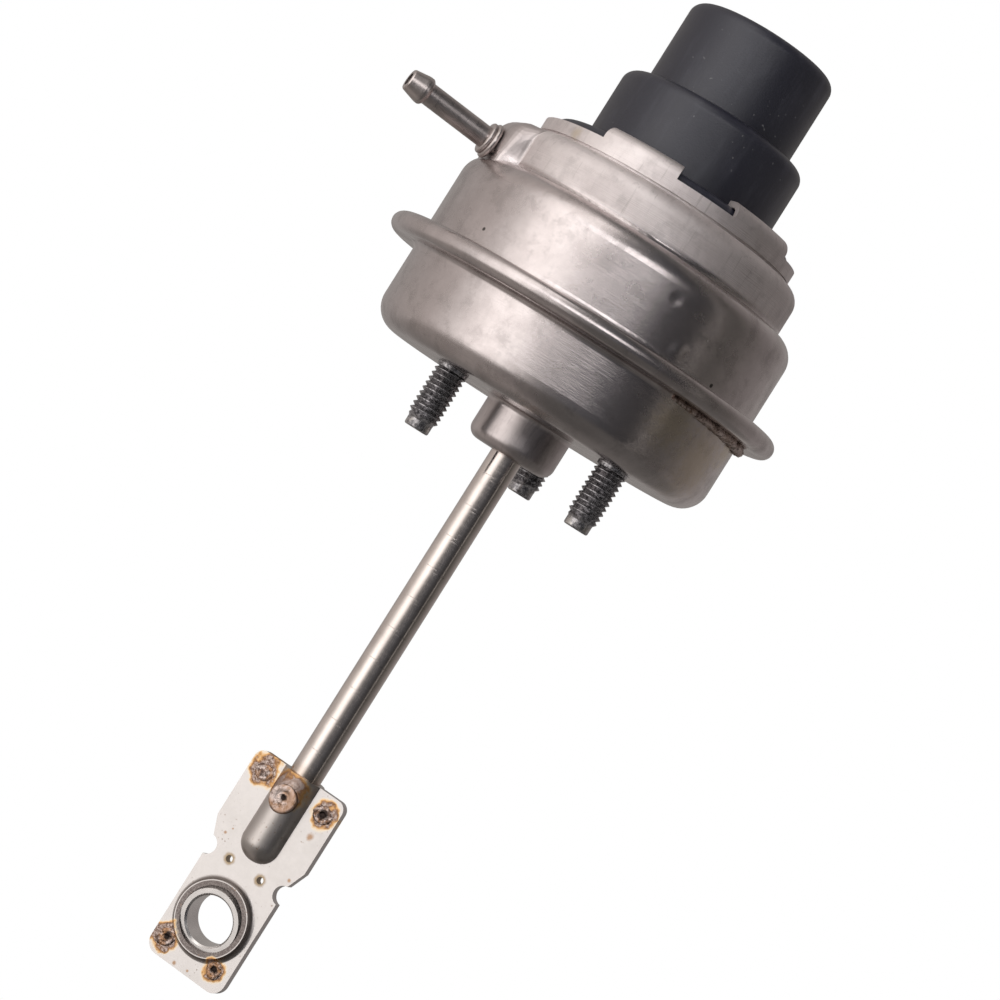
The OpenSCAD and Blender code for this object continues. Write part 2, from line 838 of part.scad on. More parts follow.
// A front sheet, drawn straight: half of the rod's pocket and half of the ball's housing stand out of it
module end_sheet() {
    difference() {
        union() {
            rotate([90, 0, 0])
                linear_extrude(plate_t)
                    plate_outline();
            rod_space(pocket_r, pocket_len);
            translate([0, 0, ball_z])
                rotate([90, 0, 0])
                    rotate_extrude()
                        cup_section();
        }
        rod_space(rod_r + 0.02, pocket_len + 1);
        translate([0, 0, ball_z])
            rotate([90, 0, 0])
                sphere(cup_r);
        translate([0, 0, plug_z])
            rotate([90, 0, 0])
                cylinder(h = pocket_r + 1, d = plug_d + 0.1);
    }
}

module front_plate() {
    color(steel)
        rotate([0, 0, plate_turn])
            end_sheet();
}

module back_plate() {
    color(steel)
        rotate([0, 0, plate_turn])
            mirror([0, 1, 0])
                end_sheet();
}

// A plug weld on each side joins the plates to the rod
module plug_welds() {
    color([0.66, 0.58, 0.52])
        rotate([0, 0, plate_turn])
            for (side = [0, 180])
                rotate([0, 0, side])
                    translate([0, 0, plug_z])
                        difference() {
                            rotate([90, 0, 0]) {
                                cylinder(h = pocket_r, d = plug_d);
                                translate([0, 0, pocket_r - 0.01])
                                    cylinder(h = 0.2, r1 = plug_d / 2, r2 = plug_d / 2 - 0.5);
                            }
                            translate([0, 0, -plug_d])
                                cylinder(h = 2 * plug_d, r = rod_r + 0.01);
                        }
}

module ball() {
    bevel = 0.35;
    color([0.82, 0.8, 0.78])
        rotate([0, 0, plate_turn])
            translate([0, 0, ball_z])
                rotate([90 + ball_tilt, 0, 0])
                    difference() {
                        sphere(ball_r);
                        translate([0, 0, ball_w / 2])
                            cylinder(h = ball_r, r = ball_r + 1);
                        translate([0, 0, -ball_w / 2 - ball_r])
                            cylinder(h = ball_r, r = ball_r + 1);
                        translate([0, 0, -ball_r - 1])
                            cylinder(h = 2 * ball_r + 2, d = bore_d);
                        for (side = [0, 180])
                            rotate([side, 0, 0])
                                translate([0, 0, ball_w / 2 - bevel])
                                    cylinder(h = 2 * bevel, d1 = bore_d, d2 = bore_d + 4 * bevel);
                    }
}

lower_shell();
upper_shell();
stud_plate();
mounting_studs();
guide_bush();
rod_wiper();
vacuum_nipple();
nipple_collar();
diaphragm();
return_spring();
spring_seat();
sensor_seal();
sensor_housing();
clamp_ring();
sensor_board();
hall_chip();
terminals();
board_plug();
rod();
diaphragm_plate();
piston_cup();
magnet_carrier();
rod_washer();
magnet();
front_plate();
back_plate();
plug_welds();
ball();
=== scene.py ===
import math

import bpy
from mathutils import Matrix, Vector


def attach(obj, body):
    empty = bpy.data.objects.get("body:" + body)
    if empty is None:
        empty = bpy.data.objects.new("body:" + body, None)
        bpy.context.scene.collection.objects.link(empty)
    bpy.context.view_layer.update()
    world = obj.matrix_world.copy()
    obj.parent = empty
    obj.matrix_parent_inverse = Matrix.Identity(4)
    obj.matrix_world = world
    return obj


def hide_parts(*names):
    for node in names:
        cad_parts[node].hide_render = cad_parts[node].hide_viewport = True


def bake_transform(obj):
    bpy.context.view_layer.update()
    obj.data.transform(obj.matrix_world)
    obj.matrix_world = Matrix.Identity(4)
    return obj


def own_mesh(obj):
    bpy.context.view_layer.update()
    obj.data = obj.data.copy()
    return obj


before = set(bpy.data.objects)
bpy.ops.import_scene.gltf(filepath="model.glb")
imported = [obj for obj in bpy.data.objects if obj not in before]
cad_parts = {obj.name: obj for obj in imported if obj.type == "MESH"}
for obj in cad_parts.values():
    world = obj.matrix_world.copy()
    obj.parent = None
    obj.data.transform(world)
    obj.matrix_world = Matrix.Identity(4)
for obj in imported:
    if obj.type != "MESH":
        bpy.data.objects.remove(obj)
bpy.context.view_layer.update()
print("frame loaded:", len(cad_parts), "nodes")

mm = 0.001


def link(thing):
    bpy.context.scene.collection.objects.link(thing)


# camera, at the photograph's viewing angle: level, in front, and rolled so that the cap leans right
cameraSettings = {
    "place": (0.00307, -0.4825, -0.0150),
    "roll": 32.17,
    "lens": 99.0,
}


def makeCamera(settings):
    data = bpy.data.cameras.new("camera")
    data.lens = settings["lens"]
    data.clip_start = 0.01
    data.clip_end = 50
    camera = bpy.data.objects.new("camera", data)
    camera.location = settings["place"]
    camera.rotation_euler = (math.radians(90), math.radians(-settings["roll"]), 0)
    link(camera)
    bpy.context.scene.camera = camera


makeCamera(cameraSettings)
print("camera set")


# helpers for nodes

class wire:
    # an output of a node; a label gives its neighbour, and sums and products become Math nodes

    def __init__(self, socket):
        self.socket = socket

    def __getitem__(self, label):
        return wire(self.socket.node.outputs[label])

    def __add__(self, other):
        return math2("ADD", self, other)

    def __sub__(self, other):
        return math2("SUBTRACT", self, other)

    def __rsub__(self, other):
        return math2("SUBTRACT", other, self)

    def __mul__(self, other):
        return math2("MULTIPLY", self, other)

    def __truediv__(self, other):
        return math2("DIVIDE", self, other)


def feed(socket, value):
    if isinstance(value, wire):
        socket.id_data.links.new(value.socket, socket)
    elif value is not None:
        socket.default_value = (*value, 1) if socket.type == "RGBA" else value


# adds a node beside the wires that feed it; inputs go by label or place
def addNode(kind, inputs, **values):
    tree = next(value.socket.id_data for value in inputs.values() if isinstance(value, wire))
    node = tree.nodes.new("ShaderNode" + kind)
    for name, value in values.items():
        setattr(node, name, value)
    for label, value in inputs.items():
        feed(node.inputs[label], value)
    return wire(node.outputs[0])


def math2(operation, a, b=None, clamp=False):
    return addNode("Math", {0: a, 1: b}, operation=operation, use_clamp=clamp)


def vectorMath(operation, a, b=None):
    result = addNode("VectorMath", {0: a, 1: b}, operation=operation)
    return result["Value" if operation in ("DISTANCE", "DOT_PRODUCT", "LENGTH") else "Vector"]


def separate(vector):
    return addNode("SeparateXYZ", {0: vector})


def turned(vector, degrees):
    return addNode("Mapping", {"Vector": vector, "Rotation": (0, 0, math.radians(degrees))}, vector_type="POINT")


def mixColour(factor, a, b):
    return addNode("Mix", {"Factor": factor, "A": a, "B": b}, data_type="RGBA")["Result"]


def noise(vector, scale, detail=3.0, roughness=0.55, distortion=0.0):
    inputs = {"Vector": vector, "Scale": scale, "Detail": detail, "Roughness": roughness, "Distortion": distortion}
    return addNode("TexNoise", inputs)["Fac"]


def remap(value, low, high, outLow=0.0, outHigh=1.0, smooth=False):
    inputs = {"Value": value, "From Min": low, "From Max": high, "To Min": outLow, "To Max": outHigh}
    return addNode("MapRange", inputs, interpolation_type="SMOOTHSTEP" if smooth else "LINEAR")["Result"]


def bump(height, distance, strength=1.0, normal=None):
    inputs = {"Strength": strength, "Distance": distance, "Height": height, "Normal": normal}
    return addNode("Bump", inputs)["Normal"]


def colourRamp(value, stops):
    colour = addNode("ValToRGB", {"Fac": value})["Color"]
    elements = colour.socket.node.color_ramp.elements
    elements.remove(elements[1])
    for index, (position, tone) in enumerate(stops):
        element = elements.new(position) if index else elements[0]
        element.position = position
        element.color = (*tone, 1)
    return colour


def scaled(colour, share):
    return tuple(share * part for part in colour)


# a colour and a darker shade of it, in blotches
def mottled(blotches, colour, share):
    return mixColour(remap(blotches, 0.3, 0.7), scaled(colour, share), colour)


# inputs come with their first values; build takes their wires and returns the outputs
def newGroup(name, build, outputs, **inputs):
    tree = bpy.data.node_groups.new(name, "ShaderNodeTree")
    for label, value in inputs.items():
        kind = "Float" if isinstance(value, float) else "Color" if len(value) == 4 else "Vector"
        tree.interface.new_socket(label, in_out="INPUT", socket_type="NodeSocket" + kind).default_value = value
    for label in outputs:
        kind = "Color" if label == "Colour" else "Float"
        tree.interface.new_socket(label, in_out="OUTPUT", socket_type="NodeSocket" + kind)
    inside, outside = tree.nodes.new("NodeGroupInput"), tree.nodes.new("NodeGroupOutput")
    results = build(*(wire(inside.outputs[label]) for label in inputs))
    for label, result in zip(outputs, results):
        feed(outside.inputs[label], result)
    return tree


def useGroup(group, **values):
    return addNode("Group", values, node_tree=group)


# grain of pressed or drawn metal: soft blotches, fine sand and lines along one direction
def metalGrain(vector, lines, blotch, sand):
    return (noise(vector, blotch, 5.0, 0.62), noise(vector, sand, 2.0, 0.7),
            noise(vectorMath("MULTIPLY", vector, lines), 1.0, 3.0, 0.65))


# place on the turned shapes: angle in degrees from the front towards +X, radius and height in millimetres
def roundPlace(vector):
    parts = separate(vector)
    angle = math2("ARCTAN2", parts["X"], parts["Y"] * -1.0) * (180 / math.pi)
    flat = vectorMath("MULTIPLY", vector, (1 / mm, 1 / mm, 0))
    return angle, vectorMath("LENGTH", flat), parts["Z"] * (1 / mm)


# a soft, slightly ragged spot round one point
def spotMask(vector, centre, size, softness, wobble):
    away = vectorMath("DISTANCE", vector, centre) / size + (noise(vector, 900.0, 3.0, 0.6) - 0.5) * wobble
    return [remap(away, 1.0 - softness, 1.0, 1.0, 0.0, smooth=True)]


# heat round a weld, 1 at its centre and 0 at its size, with a ragged front
def weldHeat(vector, centre, size, wobble):
    away = vectorMath("DISTANCE", vector, centre) / size + (noise(vector, 300.0, 3.0, 0.5) - 0.5) * wobble
    return [math2("SUBTRACT", 1.0, away, clamp=True)]


# colours that steel takes with heat: straw, orange, brown, blue-grey and burnt
heatColours = [
    (0.0, (0.62, 0.58, 0.54)), (0.09, (0.72, 0.60, 0.42)), (0.20, (0.62, 0.35, 0.14)),
    (0.29, (0.33, 0.18, 0.10)), (0.38, (0.50, 0.40, 0.36)), (0.52, (0.38, 0.28, 0.24)),
    (0.66, (0.60, 0.49, 0.44)), (0.82, (0.34, 0.19, 0.11)), (1.0, (0.07, 0.045, 0.035)),
]


def heatTint(heat, colour):
    return [mixColour(remap(heat, 0.0, 0.20, smooth=True), colour, colourRamp(heat, heatColours))]


grainGroup = newGroup("metalGrain", metalGrain, ["Blotches", "Grain", "Streaks"], Vector=(0, 0, 0),
                      Lines=(1, 1, 1), Blotch=60.0, Sand=2500.0)
roundGroup = newGroup("roundPlace", roundPlace, ["Angle", "Radius", "Height"], Vector=(0, 0, 0))
spotGroup = newGroup("spotMask", spotMask, ["Mask"], Vector=(0, 0, 0), Centre=(0, 0, 0), Size=0.002,
                     Softness=0.5, Wobble=0.3)
heatGroup = newGroup("weldHeat", weldHeat, ["Heat"], Vector=(0, 0, 0), Centre=(0, 0, 0), Size=0.004, Wobble=0.8)
tintGroup = newGroup("heatTint", heatTint, ["Colour"], Heat=0.0, Colour=(0.7, 0.7, 0.7, 1))
print("node groups made")


def newMaterial(name):
    material = bpy.data.materials.new(name)
    material.use_nodes = True
    nodes = material.node_tree.nodes
    return material, nodes["Principled BSDF"], wire(nodes.new("ShaderNodeTexCoord").outputs["Object"])


def finishShader(shader, colour, roughness, normal, metallic=1.0):
    inputs = {"Base Color": colour, "Roughness": roughness, "Normal": normal, "Metallic": metallic}
    for label, value in inputs.items():
        feed(shader.inputs[label], value)


def dress(piece, material):
    piece.data.materials.clear()
    piece.data.materials.append(material)


def paint(material, *nodes):
    for node in nodes:
        dress(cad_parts[node], material)


def makeGrain(place, lines, blotch, sand=2500.0):
    grain = useGroup(grainGroup, Vector=place, Lines=lines, Blotch=blotch, Sand=sand)
    return grain["Blotches"], grain["Grain"], grain["Streaks"]


def makeSpot(place, centre, size, softness, wobble):
    return useGroup(spotGroup, Vector=place, Centre=centre, Size=size * mm, Softness=softness, Wobble=wobble)


def onWall(angle, height, radius):
    turn = math.radians(angle)
    return (radius * math.sin(turn) * mm, -radius * math.cos(turn) * mm, height * mm)


# pressed stainless sheet of the two shells and the clamp ring
shellFinish = {
    "colour": (0.640, 0.585, 0.578),
    "darker": (0.470, 0.422, 0.415),
    # lighter colour of the brushed step: partly its own finish, partly painted sheen
    "stepColour": (0.80, 0.745, 0.735),
    "smudge": (0.30, 0.27, 0.265),
    "scratch": (0.25, 0.22, 0.20),
    "straw": (0.56, 0.47, 0.33),
    "pit": (0.10, 0.09, 0.085),
    "padEdge": (0.86, 0.80, 0.79),
    "roughness": (0.28, 0.18),
    "stepRoughness": 0.62,
    "ringRoughness": 0.54,
    "bossRoughness": 0.33,
    "padRoughness": 0.45,
    "blotch": 85.0,
    "shoulderHeight": 35.2,
    "canTop": 43.0,
    # the pad under the nipple lies between two angles; the lines along its near edge, a painted shade line in the
    # crease in the smudge colour and a painted highlight line on its ridge, are given by their place from it, half
    # width, strength and colour
    "pad": (-88.2, -58.5),
    "padLines": [(-0.45, 0.1, 0.6, "smudge"), (0.35, 0.2, 0.7, "padEdge")],
    # angle, height and radius of marks, then their size, and the depth of dents
    "dents": [(26.6, 21.2, 33.3, 2.4, 0.55), (17.6, 28.3, 33.3, 1.6, -0.28), (-8.0, 29.5, 33.3, 5.0, 0.25),
              (-59.2, 36.9, 29.55, 2.5, -0.4), (-60.4, 35.7, 30.4, 1.6, -0.25), (-62.0, 38.6, 31.5, 2.2, 0.3)],
    "pits": [(-44.3, 21.84, 33.3, 0.42), (43.0, 19.8, 33.3, 0.45)],
    "strawSpots": [(57.0, 8.0, 33.3, 10.0), (38.0, 11.0, 33.3, 7.0), (72.0, 12.6, 33.3, 5.0),
                   (-152.0, 44.6, 25.6, 2.6), (-48.0, 44.4, 25.6, 1.8)],
}


def makeShellMaterial(finish):
    material, shader, place = newMaterial("pressedStainless")
    around = useGroup(roundGroup, Vector=place)
    angle, height = around["Angle"], around["Height"]
    blotches, sand, streaks = makeGrain(place, (1300, 1300, 70), finish["blotch"], 3600.0)
    clouds = noise(place, 300.0, 4.0, 0.6)
    shoulder, top = finish["shoulderHeight"], finish["canTop"]
    raised = remap(height, shoulder, shoulder + 0.8, smooth=True)
    # the pad under the nipple is bare like the wall, not brushed like the step
    far, near = finish["pad"]
    onPad = remap(angle, far - 0.3, far) * remap(angle, near, near - 0.3) * remap(height, top, top - 0.2) * raised
    onStep = raised * (1.0 - onPad)
    shade = remap(blotches, 0.32, 0.68) * 0.6 + remap(clouds, 0.32, 0.68) * 0.4
    colour = mixColour(shade, finish["darker"], finish["colour"])
    # smudges of handling and short scratches that run round the wall
    unrolled = addNode("CombineXYZ", {"X": angle * 0.55, "Y": height})
    smudge = remap(noise(unrolled, 0.22, 5.0, 0.66, 0.1), 0.48, 0.68, 0.0, 0.40, smooth=True)
    colour = mixColour(smudge, colour, finish["smudge"])
    hairs = noise(vectorMath("MULTIPLY", unrolled, (0.09, 9.0, 1.0)), 1.0, 3.0, 0.7)
    hair = remap(hairs, 0.60, 0.66, 0.0, 0.35, smooth=True)
    colour = mixColour(hair * remap(clouds, 0.45, 0.6), colour, finish["smudge"])
    # the brushed step has its own finish, and its lighter colour is painted sheen as well
    brushedColourWithSheen = mixColour(shade, finish["colour"], finish["stepColour"])
    brushedColourWithSheen = mixColour(smudge * 0.6, brushedColourWithSheen, finish["smudge"])
    colour = mixColour(onStep, colour, brushedColourWithSheen)
    # scratches stand upright on the brushed step
    scratch = remap(streaks, 0.30, 0.42, 0.25, 0.0, smooth=True)
    colour = mixColour(scratch * onStep, colour, finish["scratch"])
    # painted shade in the crease and a painted highlight on the ridge at the pad's near edge
    for turn, half, strength, lineColour in finish["padLines"]:
        beside = math2("ABSOLUTE", angle - (near + turn))
        line = remap(beside, half, half + 0.4, strength, 0.0, smooth=True) * raised * remap(height, top, top - 0.4)
        colour = mixColour(line, colour, finish[lineColour])
    for *spot, size in finish["strawSpots"]:
        colour = mixColour(makeSpot(place, onWall(*spot), size, 0.9, 0.9) * 0.55, colour, finish["straw"])
    brushed = noise(vectorMath("MULTIPLY", place, (160, 160, 7000)), 1.0, 2.0, 0.5)
    relief = sand * 0.35 + clouds * 0.15 + hairs * 0.6 + brushed * onStep * 2.2
    dents = pits = 0.0
    for *spot, size, depth in finish["dents"]:
        dents = math2("ADD", dents, makeSpot(place, onWall(*spot), size, 1.0, 0.1) * depth)
    for *spot, size in finish["pits"]:
        pits = math2("MAXIMUM", pits, makeSpot(place, onWall(*spot), size, 0.4, 0.8))
    rough = remap(blotches, 0.3, 0.7, *finish["roughness"])
    rough = rough + remap(clouds, 0.3, 0.7, 0.04, -0.04) + smudge * 0.12
    onBoss = remap(height, 0.2, -0.6, smooth=True)
    onRing = remap(height, top - 0.1, top + 0.3, smooth=True)
    stepRough = remap(onRing, 0.0, 1.0, finish["stepRoughness"], finish["ringRoughness"])
    stepRough = stepRough + remap(blotches, 0.3, 0.7, 0.06, -0.06)
    for value, where in ((finish["padRoughness"], onPad), (finish["bossRoughness"], onBoss), (stepRough, onStep)):
        rough = rough + (value - rough) * where
    normal = bump(dents, 0.00035, 1.0, bump(relief, 0.00003, 0.7))
    finishShader(shader, mixColour(pits, colour, finish["pit"]), rough, normal)
    return material


paint(makeShellMaterial(shellFinish), "lower_shell", "upper_shell", "clamp_ring")
print("shell material made")


def makeMetal(name, colour, roughness):
    material, shader, place = newMaterial(name)
    blotches, sand, streaks = makeGrain(place, (300, 300, 300), 150.0)
    colour = mottled(blotches, colour, 0.78)
    rough = remap(streaks, 0.3, 0.7, roughness - 0.06, roughness + 0.06)
    finishShader(shader, colour, rough, bump(streaks * 0.7 + sand * 0.3, 0.00002, 0.6))
    return material


def makePlastic(name, colour, roughness):
    material, shader, place = newMaterial(name)
    blotches, _, streaks = makeGrain(place, (900, 900, 900), 90.0)
    colour = mixColour(remap(blotches, 0.35, 0.75), colour, scaled(colour, 1.4))
    rough = remap(blotches, 0.3, 0.7, roughness - 0.05, roughness + 0.05)
    finishShader(shader, colour, rough, bump(streaks, 0.00003, 0.5), metallic=0.0)
    return material


# name, colour, roughness and nodes
plainMetals = [
    ("innerSteel", (0.52, 0.51, 0.50), 0.38, "stud_plate", "spring_seat", "diaphragm_plate", "piston_cup",
     "rod_washer"),
    ("sinteredBronze", (0.42, 0.28, 0.15), 0.5, "guide_bush"),
    ("drawnWire", (0.50, 0.50, 0.51), 0.28, "return_spring"),
    ("tinnedBlade", (0.72, 0.68, 0.58), 0.25, "terminals"),
    ("nickelMagnet", (0.62, 0.60, 0.57), 0.22, "magnet"),
]
plastics = [
    ("darkPlastic", (0.05, 0.05, 0.055), 0.5, "magnet_carrier"),
    ("plugPlastic", (0.05, 0.05, 0.055), 0.5, "board_plug"),
    ("chipPlastic", (0.02, 0.02, 0.02), 0.45, "hall_chip"),
    ("boardMask", (0.02, 0.13, 0.06), 0.35, "sensor_board"),
    ("diaphragmRubber", (0.02, 0.02, 0.02), 0.6, "diaphragm"),
    ("wiperRubber", (0.018, 0.018, 0.018), 0.55, "rod_wiper"),
    ("sealRubber", (0.018, 0.018, 0.018), 0.55, "sensor_seal"),
]
for make, finishes in ((makeMetal, plainMetals), (makePlastic, plastics)):
    for name, colour, roughness, *nodes in finishes:
        paint(make(name, colour, roughness), *nodes)
print("plain metals and plastics made")


# turned nipple: rings of the tool all along it
nippleFinish = {"colour": (0.64, 0.575, 0.555), "roughness": (0.26, 0.41), "turn": 17.0}


def makeNippleMaterial(finish):
    material, shader, place = newMaterial("turnedNipple")
    blotches, _, streaks = makeGrain(turned(place, -finish["turn"]), (2600, 90, 90), 220.0)
    colour = mottled(blotches, finish["colour"], 0.72)
    rough = remap(streaks, 0.3, 0.7, *finish["roughness"])
    finishShader(shader, colour, rough, bump(streaks, 0.00002, 0.7))
    return material


paint(makeNippleMaterial(nippleFinish), "vacuum_nipple", "nipple_collar")


# ground rod: fine rings, and short score marks one below the other, given by angle and width
rodFinish = {
    "colour": (0.76, 0.69, 0.65),
    "mark": (0.16, 0.13, 0.12),
    "warm": (0.45, 0.33, 0.24),
    "roughness": (0.12, 0.23),
    "markPitch": 6.3,
    "markTurns": [(-14.0, 30.0), (18.0, 34.0)],
    "plateTop": -74.3,
}


def makeRodMaterial(finish):
    material, shader, place = newMaterial("groundRod")
    around = useGroup(roundGroup, Vector=place)
    blotches, sand, streaks = makeGrain(place, (140, 140, 5200), 260.0, 5200.0)
    colour = mottled(blotches, finish["colour"], 0.8)
    marks = 0.0
    for angle, width in finish["markTurns"]:
        step = math2("PINGPONG", around["Height"] + 0.02 * angle, finish["markPitch"] / 2)
        beside = math2("ABSOLUTE", around["Angle"] - angle)
        line = remap(step, 0.05, 0.12, 1.0, 0.0, smooth=True)
        marks = math2("MAXIMUM", marks, line * remap(beside, width * 0.6, width, 1.0, 0.0, smooth=True))
    marks = marks * remap(sand, 0.35, 0.55)
    colour = mixColour(marks * 0.45, colour, finish["mark"])
    # straw and brown where the plug weld warmed it
    warm = remap(around["Height"], finish["plateTop"] + 3.0, finish["plateTop"], 0.0, 0.5, smooth=True)
    rough = remap(streaks, 0.3, 0.7, *finish["roughness"])
    finishShader(shader, mixColour(warm, colour, finish["warm"]), rough, bump(streaks * 0.6 - marks, 0.000012, 0.6))
    return material


paint(makeRodMaterial(rodFinish), "rod")
print("nipple and rod materials made")


# stamped end plates; across, height and size in millimetres on the plates' own plane
plateFinish = {
    "turn": -19.5,
    "colour": (0.61, 0.58, 0.565),
    "shade": (0.49, 0.465, 0.45),
    # painted shade of the pressed pocket
    "pocketColour": (0.52, 0.48, 0.455),
    # painted shade of the cup's flank and of the gap at its cut lip
    "cupColour": (0.27, 0.24, 0.225),
    "lipColour": (0.13, 0.11, 0.105),
    "splash": (0.30, 0.20, 0.14),
    "burnt": (0.13, 0.075, 0.05),
    "bare": (0.66, 0.57, 0.52),
    "lipEdge": 6.72,
    "cupFoot": 8.0,
    "pressedDepth": (1.03, 1.5),
    "roughness": (0.29, 0.41),
    "ballHeight": -103.895,
    # across, height, size and raggedness
    "heat": [(-6.7, -77.2, 3.7, 1.2), (7.0, -78.0, 3.2, 1.2), (-6.1, -111.3, 3.4, 1.3), (5.1, -111.1, 2.6, 0.9),
             (-0.3, -77.4, 4.3, 0.6)],
    # brown specks and rims of the holes: softness, raggedness, strength and colour, then across, height and size
    "spots": [
        (0.7, 1.1, 0.85, (0.33, 0.19, 0.10),
         [(-6.8, -90.2, 0.45), (8.1, -90.7, 0.5), (-1.9, -114.1, 0.5), (-5.9, -88.9, 0.25), (7.1, -82.4, 0.9),
          (1.0, -113.9, 0.35)]),
        (0.45, 0.5, 0.9, (0.30, 0.22, 0.13), [(-3.5, -93.6, 1.35), (3.5, -93.6, 1.35)]),
    ],
}


def makePlateMaterial(finish):
    material, shader, place = newMaterial("stampedSheet")
    local = turned(place, -finish["turn"])
    flat = vectorMath("MULTIPLY", local, (1, 0, 1))
    heat = 0.0
    for across, height, size, wobble in finish["heat"]:
        one = useGroup(heatGroup, Vector=flat, Centre=(across * mm, 0, height * mm), Size=size * mm, Wobble=wobble)
        heat = math2("MAXIMUM", heat, one)
    heat = heat * remap(noise(place, 420.0, 2.0), 0.38, 0.56, 0.55, 1.0, smooth=True)
    blotches, sand, _ = makeGrain(place, (500, 500, 500), 200.0, 4200.0)
    colour = mixColour(remap(blotches, 0.3, 0.6), finish["shade"], finish["colour"])
    # painted shade: the pressed pocket and cup are darker than the flat sheet, though the steel is the same
    low, high = finish["pressedDepth"]
    pressed = remap(math2("ABSOLUTE", separate(local)["Y"]), low * mm, high * mm, smooth=True)
    colour = mixColour(pressed, colour, finish["pocketColour"])
    # the cup round the ball: painted shade in the gap at its cut lip, a thin painted highlight at its edge, then
    # painted shade on its flank
    edge = finish["lipEdge"]
    away = vectorMath("DISTANCE", flat, (0, 0, finish["ballHeight"] * mm)) * (1 / mm)
    flankShade = remap(away, edge + 0.5, finish["cupFoot"], 1.0, 0.0, smooth=True)
    colour = mixColour(flankShade, colour, finish["cupColour"])
    lipShade = remap(away, edge - 0.03, edge + 0.03, 1.0, 0.0) * pressed
    colour = mixColour(lipShade * remap(sand, 0.45, 0.62, 1.0, 0.3), colour, finish["lipColour"])
    # a thin ring at the lip's edge keeps the sheet's own colour: a painted highlight against the painted shade
    rim = remap(math2("ABSOLUTE", away - (edge + 0.1)), 0.04, 0.12, 1.0, 0.0) * pressed
    colour = mixColour(rim * 0.8, colour, finish["colour"])
    # small dark grains of weld splash
    splash = remap(noise(place, 2400.0, 1.0, 0.4), 0.70, 0.74, smooth=True)
    splash = splash * remap(noise(place, 160.0, 2.0), 0.5, 0.6)
    colour = mixColour(splash * 0.8, colour, finish["splash"])
    for softness, wobble, strength, spotColour, spots in finish["spots"]:
        for across, height, size in spots:
            spot = makeSpot(flat, (across * mm, 0, height * mm), size, softness, wobble)
            colour = mixColour(spot * strength, colour, spotColour)
    tint = useGroup(tintGroup, Heat=heat, Colour=colour)
    crackle = noise(place, 2600.0, 4.0, 0.75)
    burnt = mixColour(remap(crackle, 0.42, 0.50), finish["burnt"], tint)
    burnt = mixColour(remap(crackle, 0.54, 0.62), burnt, finish["bare"])
    colour = mixColour(remap(heat, 0.16, 0.40, 0.0, remap(pressed, 0.0, 1.0, 1.0, 0.25)), tint, burnt)
    crust = remap(heat, 0.10, 0.30, 0.0, 0.55, smooth=True)
    rough = remap(blotches, 0.3, 0.7, *finish["roughness"]) + crust * 0.3
    height = sand * 0.25 + crackle * (crust * 3.0) - splash * 0.6
    finishShader(shader, colour, rough, bump(height, 0.00004, 0.8))
    return material


paint(makePlateMaterial(plateFinish), "front_plate", "back_plate")


# the turned ball: bright faces and bore, and a speckled band of painted shade in the gap where it turns in its cup
ballFinish = {
    "colour": (0.84, 0.81, 0.79),
    # painted shade in the gap between the ball and its cup
    "band": (0.10, 0.085, 0.08),
    "roughness": (0.20, 0.32),
    "centre": (0.0, 0.0, -103.895),
    "axis": (-0.3297, -0.93104, -0.15643),
    "faceRadius": 5.72,
}


def makeBallMaterial(finish):
    material, shader, place = newMaterial("turnedBall")
    fromCentre = vectorMath("SUBTRACT", place, scaled(finish["centre"], mm))
    away = vectorMath("LENGTH", vectorMath("CROSS_PRODUCT", fromCentre, finish["axis"])) * (1 / mm)
    blotches, sand, _ = makeGrain(place, (600, 600, 600), 260.0, 5200.0)
    band = remap(away, finish["faceRadius"], finish["faceRadius"] + 0.08, smooth=True)
    colour = mottled(blotches, finish["colour"], 0.84)
    colour = mixColour(band * remap(sand, 0.42, 0.60, 0.35, 1.0), colour, finish["band"])
    rings = noise(away * 4.0, 1.0, 2.0)
    rough = remap(rings, 0.3, 0.7, *finish["roughness"]) + band * 0.2
    finishShader(shader, colour, rough, bump(rings, 0.000015, 0.5))
    return material


paint(makeBallMaterial(ballFinish), "ball")
print("plate and ball materials made")


# weld metal of the nuggets, the plugs and the bead under the rim
weldFinish = {
    "light": (0.60, 0.50, 0.46),
    "dark": (0.12, 0.08, 0.065),
    "rust": (0.46, 0.24, 0.11),
    "burnt": (0.03, 0.022, 0.02),
    "turn": -19.5,
}


def makeWeldMaterial(name, finish, rust, bright, scale=1500.0, pits=()):
    material, shader, place = newMaterial(name)
    fine = noise(place, scale, 4.0, 0.7)
    coarse = noise(place, scale * 0.3, 3.0, 0.6)
    colour = mixColour(remap(fine, 0.62 - bright * 0.3, 0.68 - bright * 0.15), finish["dark"], finish["light"])
    colour = mixColour(remap(coarse, 0.45, 0.62, smooth=True) * rust, colour, finish["rust"])
    # burnt pits, placed across the plates and in height
    turn = math.radians(finish["turn"])
    across = vectorMath("DOT_PRODUCT", place, (math.cos(turn), math.sin(turn), 0))
    flat = addNode("CombineXYZ", {"X": across, "Z": separate(place)["Z"]})
    for pitAcross, pitHeight, size in pits:
        pit = makeSpot(flat, (pitAcross * mm, 0, pitHeight * mm), size, 0.5, 0.9)
        colour = mixColour(pit, colour, finish["burnt"])
    finishShader(shader, colour, remap(coarse, 0.3, 0.7, 0.32, 0.55), bump(fine, 0.00009, 0.9))
    return material


